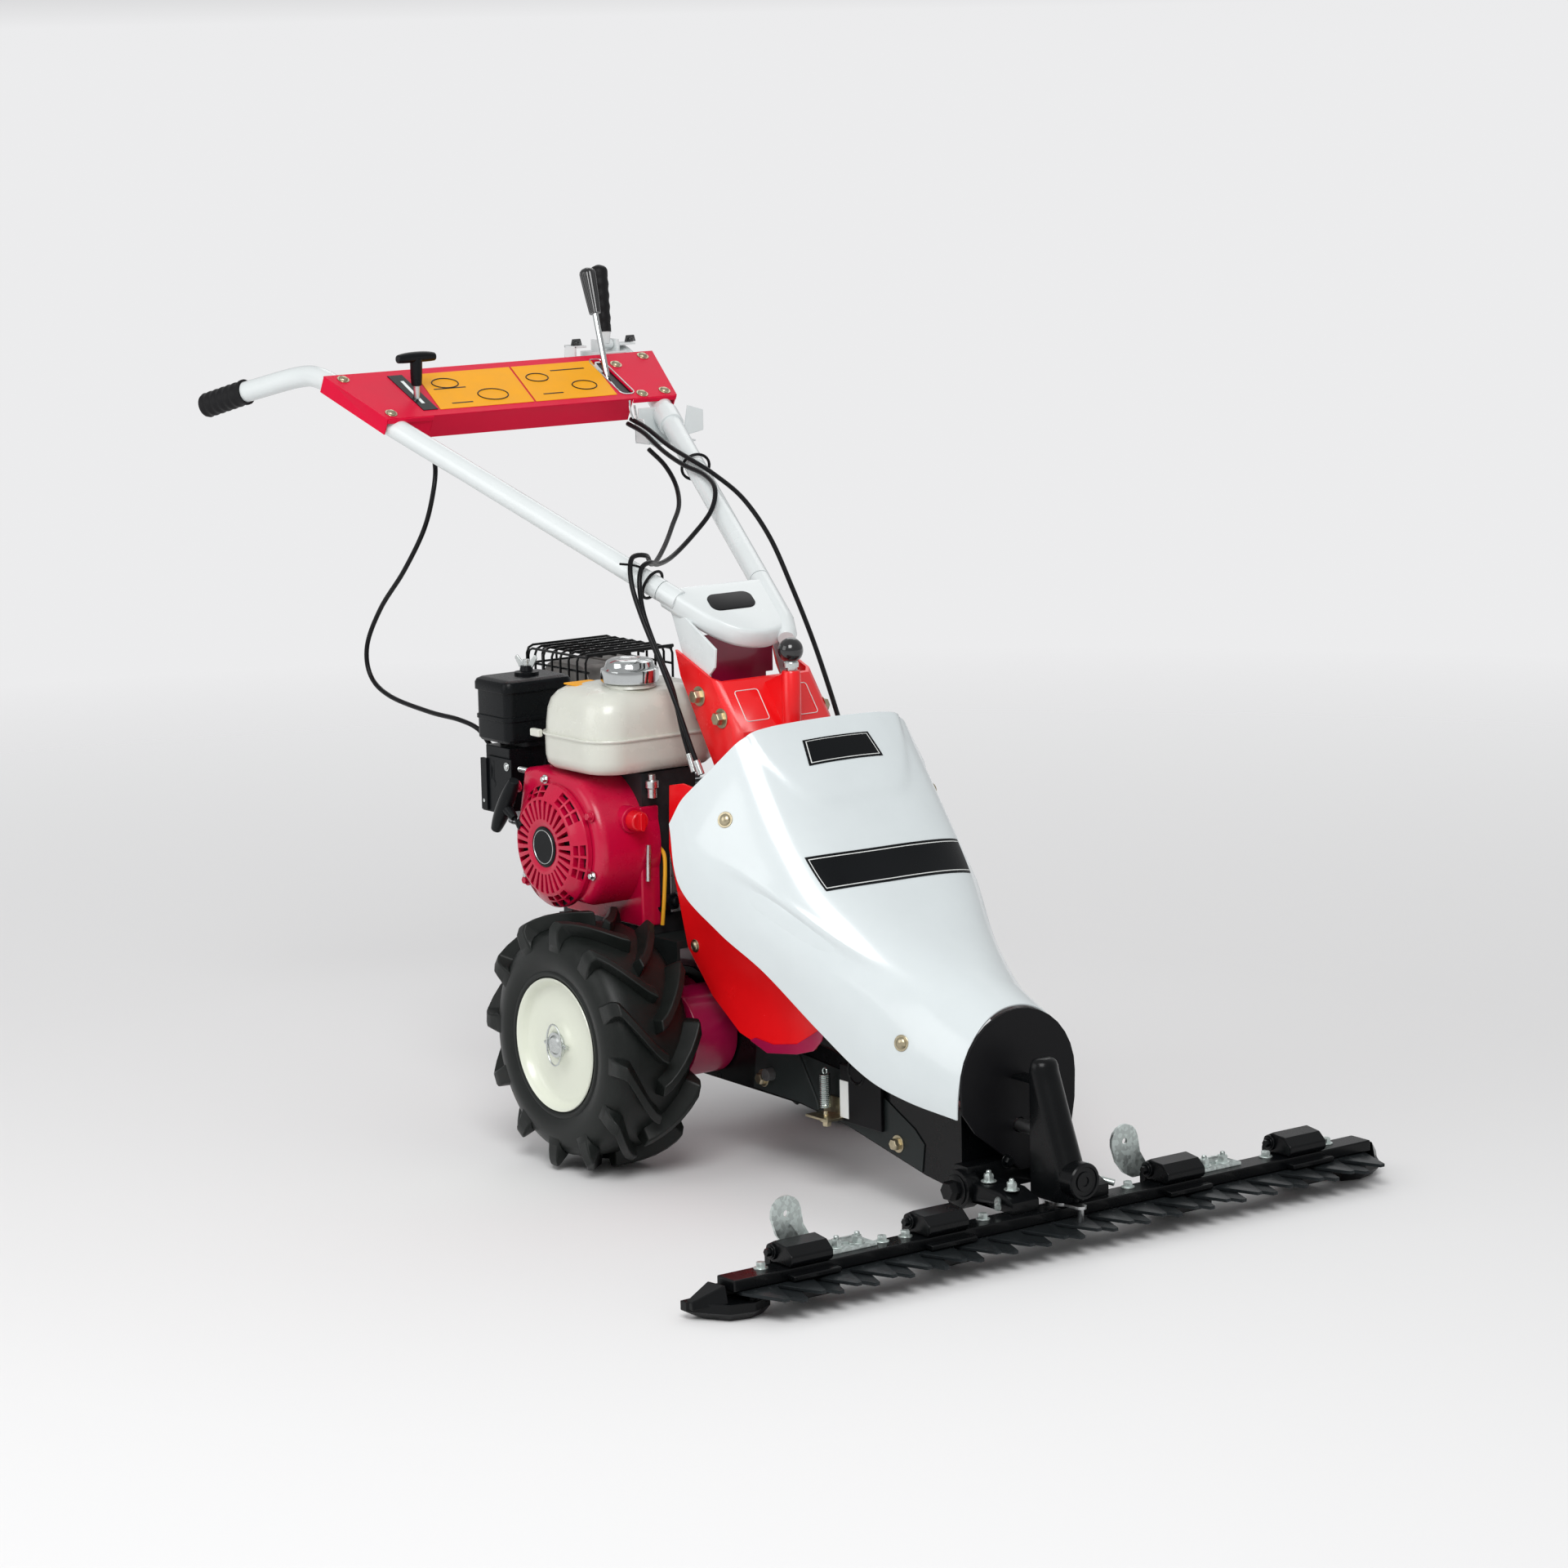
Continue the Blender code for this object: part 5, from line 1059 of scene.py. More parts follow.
def fan_cover():
    """The pressed blower housing, with its skirt, switch boss and bolts."""
    floor = math.degrees(math.asin((0.334 - FAN_CENTRE[1]) / FAN_RADIUS))
    def outline(shrink):
        drum = arc(FAN_CENTRE, FAN_RADIUS - shrink, 115, 180 - floor, 40)
        tail = [(0.135 - shrink * 0.4, 0.334 + shrink), (0.160 - shrink, 0.350 + shrink),
                (0.168 - shrink, 0.420), (0.150 - shrink, 0.494 - shrink), (0.120, 0.4985 - shrink)]
        return drum + tail
    rows = []
    for shrink, x in ((0.0, -0.1120), (0.0, -0.190), (0.0012, -0.1955), (0.0042, -0.2005), (0.0085, -0.2035),
                      (0.0130, -0.2045)):
        rows.append([(x, y, z) for y, z in outline(shrink)])
    build("fan_cover_shell", loft(rows), "crimson_paint", "chassis", "fan_red", "fan_cover", crease=28)
    skirt = block((-0.1393, -0.0228, 0.3020), (-0.1100, 0.1520, 0.4570))
    build("fan_cover_skirt", skirt, "crimson_paint", "chassis", "fan_red", bevel=0.003, segments=3)
    build("switch_boss", lathe([(0, -0.030), (0.017, -0.030), (0.017, 0.012), (0, 0.012)], "Y",
                               (-0.155, 0, 0.444), 32), "crimson_paint", "chassis", "fan_red", bevel=0.0015)
    corners = [(Vector((-0.2047, y, z)), (-1, 0, 0)) for y, z in ((0.155, 0.470), (0.140, 0.350),
                                                                  (-0.008, 0.452))]
    fasten("fan_cover_bolts", hex_bolt(0.009), corners, "crimson_paint", "chassis", "fan_red")


def radial_slot(angle, near, far, depth):
    """A cutter for one slot of the starter housing. Near and far are (radius, half width)."""
    (r0, h0), (r1, h1) = near, far
    rows = []
    for x in depth:
        rows.append([RECOIL + Vector((x, r * math.cos(angle + t / r), r * math.sin(angle + t / r)))
                     for r, t in ((r0, -h0), (r0, h0), (r1, h1), (r1, -h1))])
    return loft(rows)


def recoil():
    """The starter housing: radial slots round a black badge, and larger windows on its sloping rim."""
    profile = [(0.0, -0.0190), (0.0270, -0.0190), (0.0300, -0.0205), (0.0330, -0.0210), (0.0560, -0.0205),
               (0.0610, -0.0196), (0.0645, -0.0176), (0.0700, -0.0140), (0.0775, -0.0085), (0.0795, -0.0060),
               (0.0798, 0.0), (0.0, 0.0)]
    housing = build("recoil_cover", lathe(profile, "X", RECOIL, 112), "crimson_paint", "chassis",
                    "recoil_red", "recoil_housing", crease=30)
    slots = [radial_slot(2 * math.pi * k / 30, (0.0355, 0.0017), (0.0600, 0.0032), (-0.030, -0.0110))
             for k in range(30)]
    windows = [radial_slot(math.radians(group * 60 + 10 + 13 * k), near, far, (-0.030, -0.0045))
               for group in range(6) for k in (-1, 0, 1)
               for near, far in (((0.0640, 0.0060), (0.0698, 0.0064)), ((0.0716, 0.0066), (0.0780, 0.0071)))]
    carve(housing, joined(*slots), joined(*windows))
    cup = lathe([(0.0, -0.0115), (0.0625, -0.0115), (0.0640, -0.0060), (0.0783, -0.0055), (0.0783, -0.0035),
                 (0.0, -0.0035)], "X", RECOIL, 64)
    build("recoil_pulley", cup, "matt_black", "chassis", "black_plastic", crease=40)
    disc = lathe([(0.0, -0.0207), (0.0245, -0.0207), (0.0262, -0.0197), (0.0262, -0.0185)], "X", RECOIL, 64)
    build("recoil_badge", disc, "badge_black", "chassis", "black_plastic", crease=30)
    ring = [RECOIL + Vector((-0.0208, 0.0215 * math.cos(a), 0.0215 * math.sin(a)))
            for a in [2 * math.pi * k / 48 for k in range(48)]]
    build("recoil_badge_ring", hoop(ring, 0.0006), "zinc", "chassis", "machined_steel")
    ears = [(RECOIL + Vector((0.0002, 0.0850 * math.cos(a), 0.0850 * math.sin(a))), (-1, 0, 0))
            for a in (math.radians(200), math.radians(325), math.radians(75))]
    fasten("recoil_bolts", hex_bolt(0.007), ears, "zinc", "chassis", "machined_steel")


def starter_grip():
    pull = Vector((0.0, 0.83, 0.56)).normalized()
    across = Vector((0.0, pull.z, -pull.y))
    grip = Vector((-0.220, 0.165, 0.446))
    route = [grip + across * (0.042 * (2 * k / 16 - 1)) for k in range(17)]
    radii = [0.0108 * (1 - 0.38 * abs(2 * k / 16 - 1) ** 2.2) for k in range(17)]
    neck = sweep([grip, grip - pull * 0.012, grip - pull * 0.026], [0.008, 0.0072, 0.0048], 20)
    build("starter_grip_handle", joined(sweep(route, radii, 24), neck), "black_plastic", "starter_grip",
          "black_plastic", "starter_grip", bevel=0.001)
    start = grip - pull * 0.024
    rope = smooth([start, start - pull * 0.02, RECOIL + Vector((-0.014, 0.040, 0.010))])
    build("starter_rope", sweep(rope, 0.0021, 10), "black_plastic", "starter_grip", "black_plastic")
    guide = lathe([(0.0030, 0.0), (0.0075, 0.0), (0.0085, 0.003), (0.0075, 0.010), (0.0030, 0.010),
                   (0.0030, 0.0)], "Z", (0, 0, 0), 24)
    build("rope_guide", moved(guide, toward(RECOIL + Vector((-0.0147, 0.052, 0.0185)), pull)),
          "black_plastic", "chassis", "black_plastic")


def tank_ring(inset, z, radius):
    return [(x, y, z) for x, y in rounded((-0.205 + inset, -0.032 + inset), (-0.005 - inset, 0.125 - inset),
                                          radius, 14)]


def fuel_tank():
    """Two moulded halves that meet at a welded seam, with a stepped filler."""
    lower = [(0.020, 0.5000, 0.032), (0.011, 0.5020, 0.036), (0.0045, 0.5080, 0.041), (0.0022, 0.5180, 0.043),
             (0.0016, 0.5420, 0.044), (0.0014, 0.5440, 0.044)]
    upper = [(0.0030, 0.5478, 0.043), (0.0034, 0.5600, 0.043), (0.0050, 0.5780, 0.043),
             (0.0085, 0.5900, 0.042), (0.0150, 0.5985, 0.040), (0.0240, 0.6040, 0.036),
             (0.0360, 0.6068, 0.030), (0.0500, 0.6078, 0.022)]
    seam = [(0.0014, 0.5440, 0.044), (-0.0008, 0.5444, 0.046), (-0.0014, 0.5460, 0.046),
            (-0.0008, 0.5474, 0.046), (0.0030, 0.5478, 0.043)]
    rows = [tank_ring(*row) for row in lower + seam[1:-1] + upper]
    build("fuel_tank_shell", loft(rows), "tank_plastic", "chassis", "tank_plastic", "fuel_tank", crease=38)
    neck = lathe([(0.0, 0.6060), (0.0330, 0.6060), (0.0315, 0.6100), (0.0280, 0.6115), (0.0, 0.6115)], "Z",
                 (-0.120, 0.020, 0), 56)
    build("filler_neck", neck, "tank_plastic", "chassis", "tank_plastic")
    label = prism(rounded((-0.172, 0.064), (-0.130, 0.096), 0.004), "Z", 0.6060, 0.6072)
    build("tank_label", label, "amber", "chassis", "yellow_zinc")
    ears = [block((-0.2075, y - 0.010, 0.540), (-0.200, y + 0.010, 0.550)) for y in (0.112,)]
    build("tank_ears", joined(*ears), "tank_plastic", "chassis", "tank_plastic", bevel=0.002)


def fuel_cap():
    """A plated cap with a stepped skirt and a dished top."""
    profile = [(0.0, 0.0285), (0.0130, 0.0285), (0.0160, 0.0300), (0.0250, 0.0292), (0.0300, 0.0262),
               (0.0315, 0.0205), (0.0335, 0.0180), (0.0368, 0.0165), (0.0375, 0.0120), (0.0372, 0.0010),
               (0.0355, 0.0), (0.0, 0.0)]
    build("fuel_cap_top", lathe(profile, "Z", (-0.120, 0.020, 0.612), 96), "chrome", "fuel_cap", "cap_chrome",
          "fuel_cap", crease=30)


def air_cleaner():
    """A box-shaped cleaner with a band round it, an overhanging lid and a wing nut."""
    low, high = Vector((-0.206, 0.176, 0.520)), Vector((-0.100, 0.258, 0.603))
    case = [[(x, y, z) for x, y in rounded((low.x + i, low.y + i), (high.x - i, high.y - i),
                                           0.012 - i * 0.4)] for i,
            z in ((0.006, low.z), (0.003, low.z + 0.004), (0.003, 0.5860), (0.0, 0.5865), (0.0, 0.5960),
                  (0.002, 0.6000), (0.007, 0.6025), (0.012, high.z))]
    band = [[(x, y, z) for x, y in rounded((low.x + i, low.y + i), (high.x - i, high.y - i), 0.012)]
            for i, z in ((0.003, 0.5480), (0.0012, 0.5488), (0.0012, 0.5540), (0.003, 0.5548))]
    elbow = prism(rounded((-0.178, 0.183), (-0.118, 0.247), 0.014), "Z", 0.5136, 0.522)
    build("air_cleaner_case", joined(loft(case), loft(band), elbow), "black_plastic", "chassis",
          "black_plastic", "air_cleaner", bevel=0.0006, crease=32)
    top = Vector((-0.148, 0.215, high.z))
    hub = lathe([(0, 0), (0.016, 0), (0.016, 0.004), (0.009, 0.0055), (0.0075, 0.012), (0.0, 0.012)], "Z",
                top, 32)
    build("air_cleaner_boss", hub, "black_plastic", "chassis", "black_plastic")
    wings = []
    for side in (-1, 1):
        row = [(0.004, 0.008), (0.010, 0.010), (0.016, 0.022), (0.013, 0.026), (0.006, 0.018), (0.003, 0.016)]
        wings.append(moved(prism([(side * a, b) for a, b in row], "X", -0.0015, 0.0015),
                           Matrix.Translation(top) @ Matrix.Rotation(math.radians(30), 4, "Z")))
    stud = sweep([top + Vector((0, 0, 0.008)), top + Vector((0, 0, 0.020))], 0.0045, 16)
    build("wing_nut", joined(stud, *wings), "zinc", "chassis", "machined_steel", bevel=0.0006)


def carburettor():
    refined("carburettor", "black_plastic", bevel=0.003, segments=3)
    plate = prism([(0.182, 0.426), (0.252, 0.426), (0.252, 0.470), (0.238, 0.500), (0.182, 0.500)], "X",
                  -0.1980, -0.1955)
    shape = joined(plate, block((-0.2010, 0.236, 0.4280), (-0.1955, 0.250, 0.4960)))
    build("control_plate", shape, "black_plastic", "chassis", "black_plastic", bevel=0.0008)
    refined("choke_lever", "black_plastic", bevel=0.0006)
    bits = [(Vector((-0.1981, 0.190, 0.435)), (-1, 0, 0)), (Vector((-0.1981, 0.244, 0.440)), (-1, 0, 0)),
            (Vector((-0.1981, 0.192, 0.490)), (-1, 0, 0))]
    fasten("control_screws", pan_screw(0.0042), bits, "zinc", "chassis", "machined_steel")
    link = smooth([(-0.1765, 0.185, 0.470), (-0.1765, 0.150, 0.476), (-0.1765, 0.120, 0.5000)])
    coil = []
    for k in range(12 * 12 + 1):
        share = k / (12 * 12)
        angle = 2 * math.pi * 12 * share
        coil.append((-0.186 + 0.0032 * math.cos(angle), 0.1805 - 0.030 * share,
                     0.487 + 0.0032 * math.sin(angle)))
    build("governor_link", joined(sweep(link, 0.0012, 8), sweep(coil, 0.0006, 6)), "zinc", "chassis",
          "machined_steel")
    bowl = lathe([(0, 0.4080), (0.014, 0.4080), (0.0175, 0.4110), (0.0185, 0.4160), (0.0185, 0.4340),
                  (0, 0.4340)], "Z", (-0.160, 0.218, 0), 40)
    build("float_bowl", bowl, "cast_aluminium", "chassis", "carb_aluminium")
    hose = smooth([(-0.150, 0.190, 0.450), (-0.150, 0.170, 0.448), (-0.150, 0.170, 0.500),
                   (-0.150, 0.122, 0.520)])
    build("fuel_hose", sweep(hose, 0.0035, 12), "cable_jacket", "chassis", "cable_black")


def muffler():
    outline = rounded((0.282, 0.510), (0.392, 0.590), 0.026, 10)
    can = prism(outline, "X", -0.005, 0.098)
    wide = prism([(0.337 + (y - 0.337) * 1.03, 0.550 + (z - 0.550) * 1.05) for y, z in outline], "X", 0.046,
                 0.0495)
    pipe = sweep(smooth([(0.040, 0.302, 0.524), (0.040, 0.275, 0.502), (0.040, 0.247, 0.481)]), 0.0140, 24)
    build("muffler_can", joined(can, wide, pipe), "muffler_steel", "chassis", "muffler_steel", "muffler",
          bevel=0.003, segments=3)
    tail = lathe([(0.0, 0.098), (0.013, 0.098), (0.013, 0.112), (0.010, 0.112), (0.010, 0.102), (0, 0.102)],
                 "X", (0, 0.362, 0.565), 32)
    build("muffler_outlet", tail, "muffler_steel", "chassis", "muffler_steel")
    strap = block((0.010, 0.262, 0.5045), (0.070, 0.292, 0.5085))
    build("muffler_stay", strap, "grey_black", "chassis", "bridge_black", bevel=0.0008)


def wire_guard():
    """A cage of crossed wires over the muffler: top, two ends and the rear."""
    low, high = Vector((-0.024, 0.262, 0.500)), Vector((0.120, 0.405, 0.611))
    wire, bend = 0.0017, 0.010
    wires = []
    across = 8
    for k in range(across):
        y = low.y + wire + (high.y - low.y - 2 * wire) * k / (across - 1)
        x0, x1, z0, z1 = low.x + wire, high.x - wire, low.z + 0.004, high.z - wire
        route = [(x0, y, z0), (x0, y, z1 - bend), (x0 + bend * 0.3, y, z1 - bend * 0.3), (x0 + bend, y, z1),
                 (x1 - bend, y, z1), (x1 - bend * 0.3, y, z1 - bend * 0.3), (x1, y, z1 - bend), (x1, y, z0)]
        wires.append(sweep(route, wire, 8))
    along = 7
    for k in range(along):
        x = low.x + 0.004 + (high.x - low.x - 0.008) * k / (along - 1)
        y0, y1, z0, z1 = low.y, high.y - wire, low.z + 0.004, high.z - 3 * wire
        route = [(x, y0, z1), (x, y1 - bend, z1), (x, y1 - bend * 0.3, z1 - bend * 0.3), (x, y1, z1 - bend),
                 (x, y1, z0)]
        wires.append(sweep(route, wire, 8))
    for z in (0.514, 0.538, 0.562, 0.586):
        x0, x1, y0, y1 = low.x + 3 * wire, high.x - 3 * wire, low.y, high.y - 3 * wire
        route = [(x0, y0, z), (x0, y1 - bend, z), (x0 + bend, y1, z), (x1 - bend, y1, z), (x1, y1 - bend, z),
                 (x1, y0, z)]
        wires.append(sweep(route, wire, 8))
    frame_wire = [(low.x + wire, low.y, high.z - wire), (high.x - wire, low.y, high.z - wire)]
    wires.append(sweep(frame_wire, 0.0024, 10))
    build("muffler_cage", joined(*wires), "black_paint", "chassis", "guard_black", "muffler_guard", crease=60)


def engine_switch():
    centre = (-0.155, 0, 0.444)
    knob = lathe([(0.0, -0.0465), (0.0108, -0.0465), (0.0126, -0.0450), (0.0130, -0.0303), (0.0, -0.0303)],
                 "Y", centre, 32)
    ridge = prism(rounded((-0.0034 - 0.155, 0.4322), (0.0034 - 0.155, 0.4558), 0.0033), "Y", -0.0520, -0.0455)
    build("engine_switch_knob", joined(knob, ridge), "red_plastic", "engine_switch", "switch_red",
          "engine_switch", bevel=0.0008)


# Handlebar


def bracket():
    """The swivel bracket with its bolts, the wall behind in a darker red that paints the shade there, and two blank
    stickers on its leaning front.
    """
    refined("handlebar_bracket", "red_paint", bevel=0.0013)
    bolts = [(Vector((side * 0.0771, y, z)), (side, 0, 0)) for side in (-1, 1)
             for y, z in ((-0.070, 0.598), (-0.117, 0.575))]
    fasten("bracket_bolts", hex_bolt(0.015), bolts, "yellow_zinc", "bracket", "yellow_zinc")
    tube = lathe([(0.0060, -0.038), (0.0120, -0.038), (0.0120, 0.036), (0.0105, 0.0385), (0.0060, 0.0385),
                  (0.0060, -0.038)], "Z", (0, -0.161, 0.594), 40)
    build("index_tube", tube, "red_paint", "bracket", "bracket_red", crease=35)
    # Its lower part is narrower, to clear the fuel tank when the handlebar swivels.
    wall = [(-0.055, 0.560), (0.055, 0.560), (0.055, 0.612), (0.066, 0.612), (0.066, 0.668), (-0.066, 0.668),
            (-0.066, 0.612), (-0.055, 0.612)]
    # Painted shade: the wall takes the darker crimson instead of the bracket's red, standing in for the shadow behind
    # the front plate.
    build("bracket_wall", prism(wall, "Y", -0.034, -0.030), "dark_crimson", "bracket", "bracket_red",
          bevel=0.001)
    foot, rise = Vector((0, -0.1500, 0.5600)), Vector((0, 0.043, 0.058)).normalized()
    out = Vector((0, -rise.z, rise.y))
    edges = []
    for x0, x1 in ((-0.056, -0.020), (0.020, 0.056)):
        ring = [foot + Vector((x, 0, 0)) + rise * t + out * 0.0003 for x,
                t in rounded((x0, 0.014), (x1, 0.058), 0.004)]
        edges.append(hoop(ring, 0.0006, 6))
    build("bracket_stickers", joined(*edges), "label_white", "bracket", "fork_white")


def lock_knob():
    ball = [(0.016 * math.cos(math.radians(a)), 0.016 * math.sin(math.radians(a))) for a in range(-60, 90, 8)]
    profile = [(0.0, -0.010)] + ball + [(0.0, 0.016)]
    centre = (0, -0.161, 0.658)
    build("lock_knob_ball", lathe(profile, "Z", centre, 64), "ball_plastic", "lock_knob", "knob_black",
          "lock_knob", crease=30)
    collar = lathe([(0.0, -0.094), (0.005, -0.094), (0.005, -0.0215), (0.0095, -0.0212), (0.0098, -0.0155),
                    (0.0075, -0.0120), (0, -0.0120)], "Z", centre, 40)
    build("index_pin", collar, "zinc", "lock_knob", "machined_steel", crease=30)


def tube_line(y, side):
    share = (y - TUBE_FOOT.y) / (TUBE_HEAD.y - TUBE_FOOT.y)
    point = TUBE_FOOT.lerp(TUBE_HEAD, share)
    return Vector((side * point.x, point.y, point.z))


def fork():
    """The fork's cheeks and its deep rounded cover. The left tube runs on over the cover to its nose."""
    cheek = [(0.004, 0.716), (-0.010, 0.690), (-0.046, 0.610), (-0.062, 0.566), (-0.080, 0.575),
             (-0.084, 0.604), (-0.086, 0.626), (-0.097, 0.636), (-0.100, 0.660)]
    short = cheek[:-3] + [(-0.070, 0.640), (-0.062, 0.680)]
    sheets = [prism(cheek, "X", -0.0725, -0.0685), prism(short, "X", 0.0685, 0.0725)]
    near_foot = sweep([tube_line(-0.020, -1), tube_line(0.0056, -1)], 0.0139, 32)
    far_foot = sweep([tube_line(0.0056, 1), tube_line(-0.040, 1), tube_line(-0.084, 1),
                      (0.0330, -0.108, 0.6700), (0.0270, -0.1165, 0.6650)],
                     [0.0139, 0.0139, 0.0139, 0.0138, 0.0110], 32)
    build("handle_fork_cheeks", joined(*sheets, near_foot, far_foot), "white_paint", "handlebar",
          "fork_white", "handle_fork", bevel=0.0012)
    slope = math.atan2(TUBE_HEAD.z - TUBE_FOOT.z, TUBE_HEAD.y - TUBE_FOOT.y)
    pose = Matrix.Translation((0, 0, 0.728)) @ Matrix.Rotation(slope, 4, "X")
    edge = smooth([(-0.0840, -0.007, 0), (-0.0745, -0.040, 0), (-0.0580, -0.088, 0), (-0.0345, -0.117, 0),
                   (0.0, -0.1270, 0), (0.0345, -0.117, 0), (0.0580, -0.088, 0), (0.0745, -0.040, 0),
                   (0.0840, -0.007, 0)], 6)
    rows = []
    for shrink, z in ((0.080, -0.0228), (0.030, -0.0210), (0.004, -0.0165), (0.0, -0.0080), (0.006, -0.0010),
                      (0.022, 0.0032), (0.045, 0.0046), (0.080, 0.0050)):
        rows.append([(p.x * (1 - shrink), (p.y + 0.055) * (1 - shrink) - 0.055, z) for p in edge])
    build("fork_cover", moved(loft(rows), pose), "white_paint", "handlebar", "fork_white", crease=50)
    recess = rounded((-0.033, -0.070), (0.033, -0.034), 0.013, 8)
    well = [[(x * s - 0.009 + (y + 0.052) * 0.28, -0.052 + (y + 0.052) * s, z) for x, y in recess]
            for s, z in ((1.05, 0.0046), (1.05, 0.0056), (1.0, 0.0060))]
    build("fork_recess", moved(loft(well), pose), "matt_black", "handlebar", "black_plastic", crease=30)


def handle_tubes():
    for side, word in SIDES:
        bend = [(side * 0.235, 0.505, 0.960), (side * 0.243, 0.545, 0.975), (side * 0.253, 0.585, 0.975)]
        route = smooth([tube_line(0.006, side), tube_line(0.25, side), tube_line(0.450, side)] + bend
                       + [(side * GRIP_START.x, *GRIP_START[1:])], 10)
        build(f"handle_tube_{word}_pipe", sweep(route, 0.0141, 32), "white_paint", "handlebar", "tube_white",
              f"handle_tube_{word}", crease=50)


def grips():
    """Ribbed rubber grips, with a collar in front and a closed round end."""
    for side, word in SIDES:
        start = Vector((side * GRIP_START.x, *GRIP_START[1:]))
        end = Vector((side * GRIP_END.x, *GRIP_END[1:]))
        count = 64
        route = [start.lerp(end, k / count) for k in range(count + 1)]
        radii = []
        for k in range(count + 1):
            share = k / count
            ribs = 0.0011 * (0.5 - 0.5 * math.cos(2 * math.pi * 5.5 * max(0.0, share - 0.12) / 0.80))
            radius = 0.0175 if share < 0.05 else 0.0160 + (ribs if 0.12 < share < 0.92 else 0.0)
            if share > 0.94:
                radius *= math.sqrt(max(0.02, 1 - ((share - 0.94) / 0.061) ** 2))
            radii.append(radius)
        build(f"grip_{word}_sleeve", sweep(route, radii, 32), "grip_rubber", "handlebar", "grip_rubber",
              f"grip_{word}", crease=50)


